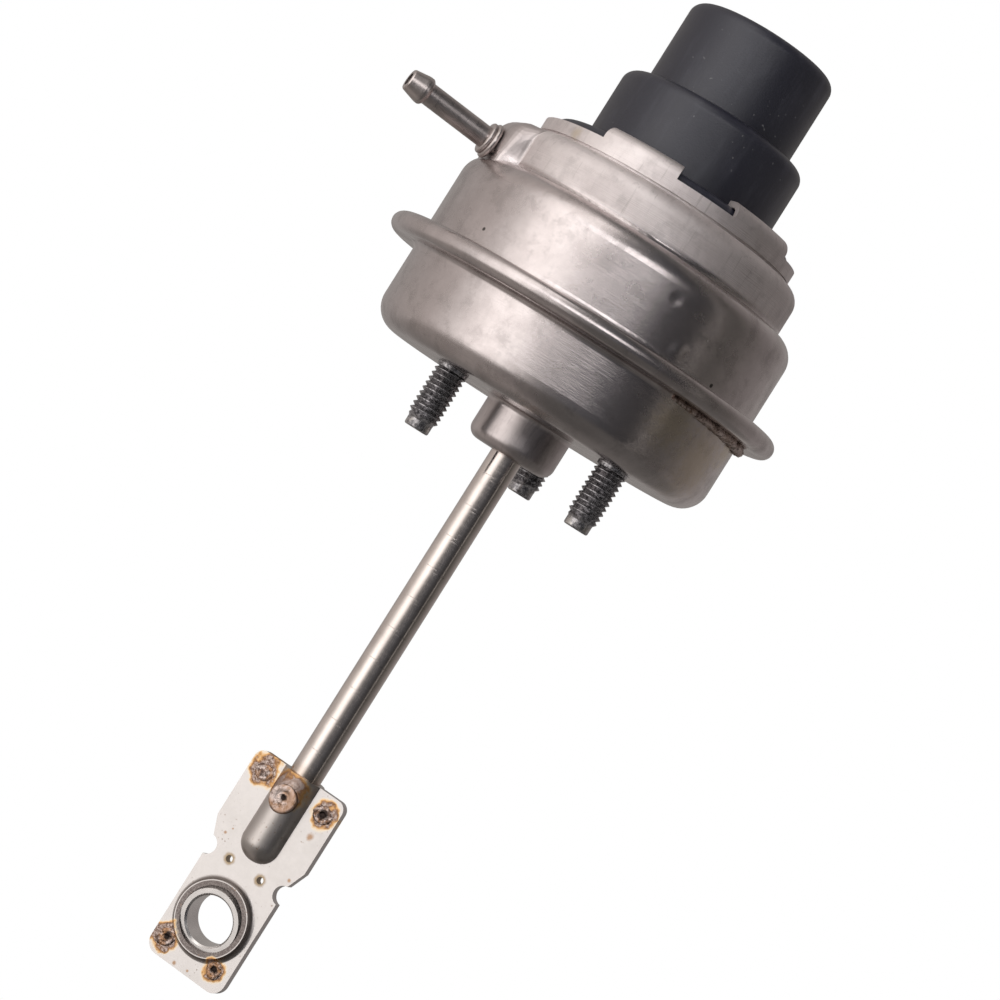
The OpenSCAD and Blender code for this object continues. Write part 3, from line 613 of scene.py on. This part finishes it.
nuggetPits = [(6.9, -77.9, 1.15), (-5.5, -110.9, 1.0), (5.1, -110.9, 0.95)]
plugPits = [(0.1, -78.9, 0.8)]
nuggetMaterial = makeWeldMaterial("nuggetMetal", weldFinish, rust=0.7, bright=0.6, pits=nuggetPits)
plugMaterial = makeWeldMaterial("plugMetal", weldFinish, rust=0.55, bright=0.95, scale=1000.0, pits=plugPits)
beadMaterial = makeWeldMaterial("rimBeadMetal", weldFinish, rust=0.15, bright=0.8)


# black plated studs, worn bright at the tip
studFinish = {
    "colour": (0.11, 0.105, 0.11),
    "lighter": (0.52, 0.50, 0.51),
    "worn": (0.50, 0.48, 0.46),
    "tipHeight": -10.9,
}


def makeStudMaterial(finish):
    material, shader, place = newMaterial("blackStud")
    height = useGroup(roundGroup, Vector=place)["Height"]
    wear = noise(place, 700.0, 4.0, 0.65)
    worn = remap(height, finish["tipHeight"] + 0.5, finish["tipHeight"] - 0.6, smooth=True)
    worn = worn * remap(wear, 0.50, 0.56, smooth=True)
    black = mixColour(remap(noise(place, 1900.0), 0.35, 0.7), finish["colour"], finish["lighter"])
    finishShader(shader, mixColour(worn, black, finish["worn"]), remap(wear, 0.3, 0.7, 0.17, 0.31),
                 bump(wear, 0.00003, 0.5), metallic=remap(worn, 0.0, 1.0, 0.85, 1.0))
    return material


# glass-filled moulding of the sensor housing: fine grain, soft rub marks and a little dust
housingFinish = {
    "colour": (0.011, 0.011, 0.021),
    "rubbed": (0.022, 0.022, 0.034),
    "dust": (0.38, 0.37, 0.36),
    "roughness": (0.35, 0.47),
    "shine": 0.65,
}


def makeHousingMaterial(finish):
    material, shader, place = newMaterial("blackHousing")
    blotches, sand, streaks = makeGrain(place, (420, 420, 90), 75.0, 2600.0)
    colour = mixColour(remap(streaks, 0.5, 0.75), finish["colour"], finish["rubbed"])
    dust = remap(noise(place, 1500.0, 0.0), 0.80, 0.83, smooth=True) * remap(noise(place, 55.0, 2.0), 0.5, 0.58)
    rough = remap(blotches, 0.3, 0.7, *finish["roughness"])
    finishShader(shader, mixColour(dust * 0.2, colour, finish["dust"]), rough,
                 bump(sand + blotches * 0.8, 0.00005, 0.5), metallic=0.0)
    feed(shader.inputs["Specular IOR Level"], finish["shine"])
    return material


studMaterial = makeStudMaterial(studFinish)
paint(makeHousingMaterial(housingFinish), "sensor_housing")
print("materials made:", len(bpy.data.materials))


# helpers for modelling

def pick(*pieces):
    bpy.ops.object.select_all(action="DESELECT")
    for piece in pieces:
        piece.select_set(True)
    bpy.context.view_layer.objects.active = pieces[0]


def rename(piece, name):
    piece.name = name
    piece.data.name = name
    return piece


def newPiece(name, add, **values):
    bpy.ops.object.select_all(action="DESELECT")
    add(**values)
    return rename(bpy.context.object, name)


def selectAll():
    bpy.ops.mesh.select_all(action="SELECT")


def editAll(piece):
    pick(piece)
    bpy.ops.object.mode_set(mode="EDIT")
    selectAll()


def leaveEdit():
    bpy.ops.object.mode_set(mode="OBJECT")


def turnOutwards():
    bpy.ops.mesh.normals_make_consistent(inside=False)
    leaveEdit()


def chooseFaces(piece, test):
    leaveEdit()
    for part in (*piece.data.vertices, *piece.data.edges):
        part.select = False
    for face in piece.data.polygons:
        face.select = test(face)
    bpy.ops.object.mode_set(mode="EDIT")
    bpy.ops.mesh.select_mode(type="FACE")


def applyModifier(piece, kind, **values):
    modifier = piece.modifiers.new(kind.lower(), kind)
    for name, value in values.items():
        setattr(modifier, name, value)
    pick(piece)
    bpy.ops.object.modifier_apply(modifier=modifier.name)


def applyPlace(piece):
    pick(piece)
    bpy.ops.object.transform_apply(location=True, rotation=True, scale=True)


def joinPieces(pieces, name):
    pick(*pieces)
    bpy.ops.object.join()
    return rename(pieces[0], name)


def smoothPiece(piece, angle):
    pick(piece)
    bpy.ops.object.shade_smooth_by_angle(angle=math.radians(angle))


def mergeDoubles(piece, distance):
    editAll(piece)
    bpy.ops.mesh.remove_doubles(threshold=distance * mm)
    turnOutwards()


# cuts the piece flat and fills the cut; side is the one that goes
def cut(place, direction, side):
    selectAll()
    bpy.ops.mesh.bisect(plane_co=place, plane_no=direction, use_fill=True, threshold=0.0001 * mm, **{side: True})


def finishPiece(piece, material, body):
    dress(piece, material)
    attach(piece, body)


def makeCylinder(name, radius, low, high, sides):
    piece = newPiece(name, bpy.ops.mesh.primitive_cylinder_add, vertices=sides, radius=radius * mm,
                     depth=(high - low) * mm, location=(0, 0, (high + low) / 2 * mm))
    applyPlace(piece)
    return piece


def bevelFaces(piece, offset, segments, test):
    editAll(piece)
    chooseFaces(piece, test)
    bpy.ops.mesh.bevel(offset=offset * mm, segments=segments, affect="EDGES")
    leaveEdit()


# pushes a piece's points in and out by clouds of one size, in millimetres
def roughen(piece, size, strength, middle, depth=2, group=""):
    clouds = bpy.data.textures.new(piece.name + "Clouds", "CLOUDS")
    clouds.noise_scale = size * mm
    clouds.noise_depth = depth
    applyModifier(piece, "DISPLACE", texture=clouds, texture_coords="LOCAL", strength=strength * mm,
                  mid_level=middle, vertex_group=group)


# the three studs, with a real thread; lengths in millimetres
studSettings = {
    "crest": 2.95,
    "root": 2.38,
    "crestFrom": 0.44,
    "crestTo": 0.56,
    "pitch": 1.0,
    "threadFrom": -10.8,
    "threadTo": -0.7,
    "lead": 1.0,
    "tipRadius": 2.35,
    "tipEnd": -12.4,
    "tipRound": 0.35,
    "tipRing": 1.1,
    "tipSink": (0.25, -0.2),
    "neckTop": 0.3,
    "neckRound": 0.2,
    "shankRadius": 3.25,
    "shankTop": 2.5,
    "headRadius": 4.95,
    "headTop": 4.1,
    "headRound": 0.25,
    "overlap": 0.4,
    "sides": 48,
    "count": 3,
    "shift": 2.0,
    "circleRadius": 19.0,
    "turn": 80.0,
    "threadTurn": 37,
}


def makeThread(settings):
    # one pitch of the thread's outline, wound up by a screw modifier and cut flat at both ends
    thread = newPiece("thread", bpy.ops.mesh.primitive_plane_add, size=1 * mm)
    editAll(thread)
    bpy.ops.mesh.delete(type="ONLY_FACE")
    bpy.ops.mesh.select_mode(type="EDGE")
    bpy.ops.mesh.select_all(action="DESELECT")
    leaveEdit()
    root, crest, pitch, low = (settings[key] for key in ("root", "crest", "pitch", "threadFrom"))
    outline = [(root, 0.0), (crest, settings["crestFrom"] * pitch), (crest, settings["crestTo"] * pitch), (root, pitch)]
    chain = [0, 1, 3, 2]
    for index, (x, z) in zip(chain, outline):
        thread.data.vertices[index].co = (x * mm, 0, (low - 1.5 + z) * mm)
    for edge in thread.data.edges:
        edge.select = set(edge.vertices) == {chain[0], chain[3]}
    bpy.ops.object.mode_set(mode="EDIT")
    bpy.ops.mesh.delete(type="EDGE")
    leaveEdit()
    turns = math.ceil((settings["threadTo"] - low) / pitch) + 4
    applyModifier(thread, "SCREW", axis="Z", screw_offset=pitch * mm, iterations=turns, steps=settings["sides"],
                  render_steps=settings["sides"], use_merge_vertices=False, use_normal_calculate=False)
    editAll(thread)
    bpy.ops.mesh.remove_doubles(threshold=0.002 * mm)
    for height, side in ((low, "clear_inner"), (settings["threadTo"], "clear_outer")):
        cut((0, 0, height * mm), (0, 0, 1), side)
    selectAll()
    turnOutwards()
    # the thread fades out over its lead
    for vertex in thread.data.vertices:
        away = math.hypot(vertex.co.x, vertex.co.y) / mm
        share = min(1.0, (vertex.co.z / mm - low) / settings["lead"])
        most = settings["tipRadius"] + share * (crest - settings["tipRadius"])
        if away > most:
            vertex.co.x *= most / away
            vertex.co.y *= most / away
    return thread


def makeStud(settings):
    sides = settings["sides"]
    thread = makeThread(settings)
    tip = makeCylinder("tip", settings["tipRadius"], settings["tipEnd"],
                       settings["threadFrom"] + settings["overlap"], sides)
    bevelFaces(tip, settings["tipRound"], 4, lambda face: face.normal.z < -0.9)
    chooseFaces(tip, lambda face: face.normal.z < -0.99)
    bpy.ops.mesh.inset(thickness=settings["tipRing"] * mm, depth=0)
    width, depth = settings["tipSink"]
    bpy.ops.mesh.inset(thickness=width * mm, depth=depth * mm)
    leaveEdit()
    neck = makeCylinder("neck", settings["crest"], settings["threadTo"], settings["neckTop"], sides)
    bevelFaces(neck, settings["neckRound"], 2, lambda face: face.normal.z < -0.9)
    shank = makeCylinder("shank", settings["shankRadius"], 0, settings["shankTop"], sides)
    head = makeCylinder("head", settings["headRadius"], settings["shankTop"], settings["headTop"], sides)
    bevelFaces(head, settings["headRound"], 3, lambda face: abs(face.normal.z) > 0.9)
    return joinPieces([thread, tip, neck, shank, head], "stud")


def makeStuds(settings):
    studs = [makeStud(settings)]
    for index in range(1, settings["count"]):
        stud = studs[0].copy()
        stud.data = studs[0].data.copy()
        link(stud)
        studs.append(stud)
    for index, stud in enumerate(studs):
        turn = math.radians(settings["turn"] + 360 / settings["count"] * index)
        stud.location = ((settings["shift"] + settings["circleRadius"] * math.cos(turn)) * mm,
                         settings["circleRadius"] * math.sin(turn) * mm, 0)
        stud.rotation_euler = (0, 0, math.radians(settings["threadTurn"] * index))
        applyPlace(stud)
    whole = joinPieces(studs, "threadedStuds")
    smoothPiece(whole, 30)
    finishPiece(whole, studMaterial, "canister")
    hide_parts("mounting_studs")


makeStuds(studSettings)
print("studs made")


# stands a piece that was made lying on its back upright on the plates, facing the front or the back
def standOnPlate(piece, across, height, depth, turn, back):
    angle = math.radians(turn)
    side = -1 if back else 1
    piece.rotation_euler = (math.radians(90), 0, angle + (math.pi if back else 0))
    piece.location = ((across * math.cos(angle) + side * depth * math.sin(angle)) * mm,
                      (across * math.sin(angle) - side * depth * math.cos(angle)) * mm, height * mm)
    applyPlace(piece)


# raises the chosen face, insets it ring by ring and closes the middle; rings are (width, depth)
def makeRings(rise, rings):
    bpy.ops.mesh.extrude_region_move(TRANSFORM_OT_translate={"value": (0, 0, rise * mm)})
    for width, depth in rings:
        bpy.ops.mesh.inset(thickness=width * mm, depth=depth * mm)
    bpy.ops.mesh.poke()
    selectAll()
    bpy.ops.mesh.subdivide(number_cuts=2)
    turnOutwards()


# spot welds of the end plates: across, height, radius, and how the middle stands, in millimetres
nuggetSettings = {
    "turn": -19.5,
    "depth": 1.0,
    "foot": -0.1,
    "rise": 0.12,
    "long": 1.22,
    "spots": {
        "spotWeldUpperLeft": (-6.6, -77.6, 1.55, 0.05),
        "spotWeldUpperRight": (6.9, -78.0, 1.65, -0.14),
        "spotWeldLowerLeft": (-5.8, -111.3, 1.60, -0.14),
        "spotWeldLowerRight": (5.1, -111.0, 1.50, -0.14),
    },
    # width as a share of the radius, and depth
    "rings": [(0.14, 0.14), (0.14, 0.04), (0.16, -0.06), (0.18, 0.06)],
    "middleWidth": 0.12,
    "roughness": 0.22,
}


def makeNugget(name, spot, settings, back):
    across, height, radius, middle = spot
    piece = newPiece(name, bpy.ops.mesh.primitive_circle_add, vertices=32, radius=radius * mm, fill_type="NGON",
                     location=(0, 0, settings["foot"] * mm))
    applyPlace(piece)
    editAll(piece)
    rings = settings["rings"] + [(settings["middleWidth"], middle), (settings["middleWidth"], 0)]
    makeRings(settings["rise"], [(width * radius, depth) for width, depth in rings])
    # each nugget is a little long and lies at its own turn
    piece.scale = (1.0, settings["long"], 1.0)
    applyPlace(piece)
    piece.rotation_euler = (0, 0, math.radians(40 * across))
    applyPlace(piece)
    standOnPlate(piece, across, height, settings["depth"], settings["turn"], back)
    roughen(piece, 0.7, settings["roughness"], 0.55)
    roughen(piece, 0.25, 0.4 * settings["roughness"], 0.5)
    smoothPiece(piece, 50)
    finishPiece(piece, nuggetMaterial, "rod")


for name, spot in nuggetSettings["spots"].items():
    makeNugget(name + "Front", spot, nuggetSettings, back=False)
    makeNugget(name + "Back", spot, nuggetSettings, back=True)
print("spot welds made")


# plug welds that hold the rod: a rounded collar round a rough, sunk middle
plugSettings = {
    "turn": -19.5,
    "height": -79.2,
    "radius": 2.58,
    "foot": 2.9,
    "top": 3.95,
    "rings": [(0.16, 0.12), (0.24, 0.05), (0.40, 0), (0.30, -0.06), (0.30, -0.08), (0.30, 0.06), (0.30, -0.08)],
    # the rough middle is oval: its half height, its shape and the width over which it fades
    "middle": 1.7,
    "oval": 1.5,
    "fade": 0.5,
    "roughness": 0.2,
}


def makePlug(name, settings, back):
    rise = settings["top"] - settings["foot"]
    piece = newPiece(name, bpy.ops.mesh.primitive_circle_add, vertices=48, radius=settings["radius"] * mm,
                     fill_type="NGON")
    editAll(piece)
    makeRings(rise, settings["rings"])
    middle = piece.vertex_groups.new(name="middle")
    for vertex in piece.data.vertices:
        away = math.hypot(settings["oval"] * vertex.co.x, vertex.co.y) / mm
        if vertex.co.z > 0.9 * rise * mm:
            weight = max(0.0, min(1.0, (settings["middle"] - away) / settings["fade"]))
            middle.add([vertex.index], weight, "REPLACE")
    standOnPlate(piece, 0, settings["height"], settings["foot"], settings["turn"], back)
    roughen(piece, 0.8, 2.0 * settings["roughness"], 0.55, group="middle")
    roughen(piece, 0.3, 0.4 * settings["roughness"], 0.5, group="middle")
    return piece


plugs = joinPieces([makePlug("plugFront", plugSettings, back=False), makePlug("plugBack", plugSettings, back=True)],
                   "plugWelds")
smoothPiece(plugs, 50)
finishPiece(plugs, plugMaterial, "rod")
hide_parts("plug_welds")
print("plug welds made")


# rough bead of burnt metal in the corner under the rim; angles from the front towards +X
beadSettings = {
    "from": 33.0,
    "to": 92.0,
    "radius": 33.75,
    "height": 14.5,
    "thin": 0.35,
    "swell": 1.15,
}


def makeBead(settings):
    piece = newPiece("rimBead", bpy.ops.mesh.primitive_torus_add, major_radius=settings["radius"] * mm,
                     minor_radius=settings["thin"] * mm, major_segments=720, minor_segments=12,
                     location=(0, 0, settings["height"] * mm))
    applyPlace(piece)
    editAll(piece)
    for angle, side in ((settings["from"], "clear_inner"), (settings["to"], "clear_outer")):
        turn = math.radians(angle)
        cut((0, 0, 0), (math.cos(turn), math.sin(turn), 0), side)
    leaveEdit()
    # thin where it starts, thick towards its far end
    swell = piece.vertex_groups.new(name="swell")
    for vertex in piece.data.vertices:
        angle = math.degrees(math.atan2(vertex.co.x, -vertex.co.y))
        share = (angle - settings["from"]) / (settings["to"] - settings["from"])
        swell.add([vertex.index], max(0.0, min(1.0, 1.5 * share, 9 * (1 - share))), "REPLACE")
    roughen(piece, 1.5, 1.6 * settings["swell"], 0.12, depth=3, group="swell")
    roughen(piece, 0.45, 0.5 * settings["swell"], 0.5, depth=3, group="swell")
    smoothPiece(piece, 60)
    finishPiece(piece, beadMaterial, "canister")


makeBead(beadSettings)
print("rim bead made")


def makeSpring():
    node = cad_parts["return_spring"]
    spring = node.copy()
    spring.data = spring.data.copy()
    spring.parent = None
    spring.name = "shorteningSpring"
    link(spring)
    spring.matrix_world = node.matrix_world
    for key in [key for key in spring.keys() if key.startswith("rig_")]:
        del spring[key]
    applyPlace(spring)
    mergeDoubles(spring, 0.001)
    smoothPiece(spring, 60)
    finishPiece(spring, node.data.materials[0], "canister")
    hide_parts("return_spring")
    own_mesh(spring)


# the diaphragm, which rolls from the wall on to the piston; radii and heights in millimetres
diaphragmSettings = {
    "thick": 0.7,
    "flange": (37.25, 16.1),
    "outerLeg": 32.2,
    "innerLeg": 26.0,
    "rollHeight": 18.9,
    "discTop": 6.5,
    "hole": 2.3,
    "rollSteps": 12,
    "sectors": 24,
    "sectorSteps": 4,
}


def diaphragmOutline(settings):
    thick, (rim, low) = settings["thick"], settings["flange"]
    keys = ("outerLeg", "innerLeg", "rollHeight", "discTop", "hole", "rollSteps")
    outer, inner, high, disc, hole, steps = (settings[key] for key in keys)
    middle, roll = (outer + inner) / 2, (outer - inner) / 2
    turns = [math.pi * step / steps for step in range(steps + 1)]
    over = [(middle + roll * math.cos(turn), high + roll * math.sin(turn)) for turn in turns]
    under = [(middle + (roll - thick) * math.cos(turn), high + (roll - thick) * math.sin(turn))
             for turn in reversed(turns)]
    return ([(rim, low), (rim, low + thick), (outer, low + thick)] + over
            + [(inner, disc), (hole, disc), (hole, disc - thick), (inner + thick, disc - thick)] + under
            + [(outer - thick, low)])


def makeDiaphragm(settings):
    outline = diaphragmOutline(settings)
    sectors = []
    share = 2 * math.pi / settings["sectors"]
    for index in range(settings["sectors"]):
        sector = newPiece("sector", bpy.ops.mesh.primitive_circle_add, vertices=len(outline), radius=1 * mm)
        for vertex, (x, z) in zip(sector.data.vertices, outline):
            vertex.co = (x * mm, 0, z * mm)
        editAll(sector)
        bpy.ops.mesh.spin(steps=settings["sectorSteps"], dupli=False, angle=share, center=(0, 0, 0), axis=(0, 0, 1))
        selectAll()
        bpy.ops.transform.rotate(value=share * index, orient_axis="Z", center_override=(0, 0, 0))
        # the direction along each sector's own radius is worked out, scaled to the can's wall and the piston's, but
        # nothing bends the sector with it
        leaveEdit()
        # each sector bends along its own radius, from the can's wall to the piston's
        middle = [sum(vertex.co[axis] for vertex in sector.data.vertices) for axis in (0, 1)]
        size = math.hypot(*middle)
        along = (middle[0] / size, middle[1] / size)
        along[0] * settings["outerLeg"] * mm
        along[1] * settings["outerLeg"] * mm
        along[0] * settings["innerLeg"] * mm
        along[1] * settings["innerLeg"] * mm
        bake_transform(sector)
        sectors.append(sector)
    whole = joinPieces(sectors, "rollingDiaphragm")
    mergeDoubles(whole, 0.002)
    smoothPiece(whole, 40)
    dress(whole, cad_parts["diaphragm"].data.materials[0])
    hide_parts("diaphragm")


makeSpring()
makeDiaphragm(diaphragmSettings)
print("spring and diaphragm made")


# studio: a pale floor that runs out into white, and a round wall that only reflections see
studio = {
    "floorHeight": -0.20,
    "floorRadius": 0.46,
    "floorColour": (0.88, 0.875, 0.87),
    "whiteFrom": 0.10,
    "whiteTo": 0.19,
    "worldLight": 0.72,
    "wallRadius": 3.0,
    "wallStrength": 2.4,
    "zenithTone": (0.12, 0.12, 0.12),
    "zenithRise": (0.92, 0.995),
    "lowRise": (-0.36, -0.54),
    # a box high in front, by angle, half width and the rises where it starts and ends
    "frontTurn": -8.0,
    "frontWidth": 18.0,
    "frontFade": 24.0,
    "frontFrom": (0.135, 0.175),
    "frontTo": (0.40, 0.55),
    "frontTone": (2.35, 2.32, 2.32),
}


# 1 for the rays that see the studio, 0 for those that only light the part
def seenRay(tree):
    light = wire(tree.nodes.new("ShaderNodeLightPath").outputs[0])
    seen = math2("MAXIMUM", light["Is Camera Ray"], light["Is Glossy Ray"])
    return math2("MAXIMUM", seen, light["Is Transmission Ray"])


def makeFloor(settings):
    floor = newPiece("floor", bpy.ops.mesh.primitive_circle_add, vertices=96, radius=settings["floorRadius"],
                     fill_type="NGON", location=(0, 0, settings["floorHeight"]))
    material, shader, place = newMaterial("paleFloor")
    tree = material.node_tree
    finishShader(shader, settings["floorColour"], 0.9, None, metallic=0.0)
    feed(shader.inputs["Specular IOR Level"], 0.0)
    away = vectorMath("LENGTH", vectorMath("MULTIPLY", place, (1, 1, 0)))
    glow, mixer = tree.nodes.new("ShaderNodeEmission"), tree.nodes.new("ShaderNodeMixShader")
    feed(glow.inputs["Color"], (1, 1, 1))
    far = remap(away, settings["whiteFrom"], settings["whiteTo"], smooth=True)
    feed(mixer.inputs["Fac"], seenRay(tree) * far)
    tree.links.new(shader.outputs[0], mixer.inputs[1])
    tree.links.new(glow.outputs[0], mixer.inputs[2])
    tree.links.new(mixer.outputs[0], tree.nodes["Material Output"].inputs["Surface"])
    dress(floor, material)
    floor.visible_glossy = False


# tone of the wall by direction, in degrees from the camera's side towards +X
wallTones = [
    (-180, (0.34, 0.32, 0.305)), (-148, (0.42, 0.395, 0.38)), (-114, (0.55, 0.51, 0.485)),
    (-92, (0.64, 0.59, 0.56)), (-74, (0.95, 0.91, 0.88)), (-60, (1.56, 1.50, 1.46)), (-42, (1.90, 1.85, 1.80)),
    (-26, (1.32, 1.28, 1.25)), (-14, (0.42, 0.41, 0.40)), (0, (0.165, 0.162, 0.165)), (14, (0.13, 0.13, 0.137)),
    (28, (0.095, 0.096, 0.104)), (42, (0.062, 0.062, 0.066)), (60, (0.045, 0.044, 0.045)),
    (64, (0.05, 0.048, 0.047)), (65.5, (0.60, 0.57, 0.54)), (67, (0.57, 0.54, 0.51)), (69, (0.08, 0.075, 0.07)),
    (80, (0.10, 0.095, 0.09)), (92, (0.155, 0.145, 0.135)), (114, (0.24, 0.22, 0.215)),
    (148, (0.36, 0.335, 0.325)), (180, (0.34, 0.32, 0.305)),
]
# and of what lies below the part
lowTones = [
    (-180, (0.20, 0.19, 0.18)), (-114, (0.36, 0.33, 0.31)), (-58, (0.38, 0.35, 0.33)), (-24, (0.24, 0.22, 0.21)),
    (0, (0.12, 0.115, 0.11)), (60, (0.12, 0.115, 0.11)), (180, (0.20, 0.19, 0.18)),
]


def toneRamp(share, tones, strength):
    return colourRamp(share, [((degrees + 180) / 360, scaled(tone, 1 / strength)) for degrees, tone in tones])


def makeWall(settings):
    wall = newPiece("studioWall", bpy.ops.mesh.primitive_uv_sphere_add, segments=96, ring_count=48,
                    radius=settings["wallRadius"])
    material, shader, place = newMaterial("studioWall")
    tree = material.node_tree
    tree.nodes.remove(shader)
    strength = settings["wallStrength"]
    around = useGroup(roundGroup, Vector=place)
    share = around["Angle"] / 360.0 + 0.5
    rise = around["Height"] / (settings["wallRadius"] / mm)
    tone = toneRamp(share, wallTones, strength)
    # a second box stands high in front: the cap and its ring see it, the can below does not
    beside = math2("ABSOLUTE", around["Angle"] - settings["frontTurn"])
    width = settings["frontWidth"]
    front = remap(beside, width, width + settings["frontFade"], 1.0, 0.0, smooth=True)
    front = front * remap(rise, *settings["frontFrom"], smooth=True)
    front = front * remap(rise, *settings["frontTo"], 1.0, 0.0, smooth=True)
    tone = mixColour(front, tone, scaled(settings["frontTone"], 1 / strength))
    high = remap(rise, *settings["zenithRise"], smooth=True)
    tone = mixColour(high, tone, scaled(settings["zenithTone"], 1 / strength))
    tone = mixColour(remap(rise, *settings["lowRise"], smooth=True), tone, toneRamp(share, lowTones, strength))
    glow = tree.nodes.new("ShaderNodeEmission")
    feed(glow.inputs["Strength"], strength)
    feed(glow.inputs["Color"], tone)
    tree.links.new(glow.outputs[0], tree.nodes["Material Output"].inputs["Surface"])
    dress(wall, material)
    for ray in ("camera", "diffuse", "shadow", "transmission", "volume_scatter"):
        setattr(wall, "visible_" + ray, False)


# direction and rise in degrees, distance and size in metres, power in watts
softBoxes = {
    "keySoftBox": {"turn": -42, "rise": 4, "distance": 1.1, "size": (0.74, 1.1), "power": 2.0},
    "frontSoftBox": {"turn": -4, "rise": 19, "distance": 1.2, "size": (0.56, 0.46), "power": 0.8},
    "topSoftBox": {"turn": -60, "rise": 66, "distance": 1.2, "size": (0.5, 0.5), "power": 2.4},
}


def makeSoftBox(name, settings):
    data = bpy.data.lights.new(name, "AREA")
    data.shape = "RECTANGLE"
    data.size, data.size_y = settings["size"]
    data.energy = settings["power"]
    lamp = bpy.data.objects.new(name, data)
    turn, rise = math.radians(settings["turn"]), math.radians(settings["rise"])
    back = Vector((math.sin(turn) * math.cos(rise), -math.cos(turn) * math.cos(rise), math.sin(rise)))
    lamp.location = back * settings["distance"]
    lamp.rotation_euler = back.to_track_quat("Z", "Y").to_euler()
    lamp.visible_glossy = False
    link(lamp)


def makeWorld(settings):
    world = bpy.data.worlds.new("studioWorld")
    world.use_nodes = True
    ground = world.node_tree.nodes["Background"]
    feed(ground.inputs["Color"], (1, 1, 1))
    feed(ground.inputs["Strength"], remap(seenRay(world.node_tree), 0.0, 1.0, settings["worldLight"], 1.0))
    bpy.context.scene.world = world


makeFloor(studio)
makeWall(studio)
makeWorld(studio)
for name, settings in softBoxes.items():
    makeSoftBox(name, settings)
bpy.context.scene.view_settings.view_transform = "Standard"
print("studio set")
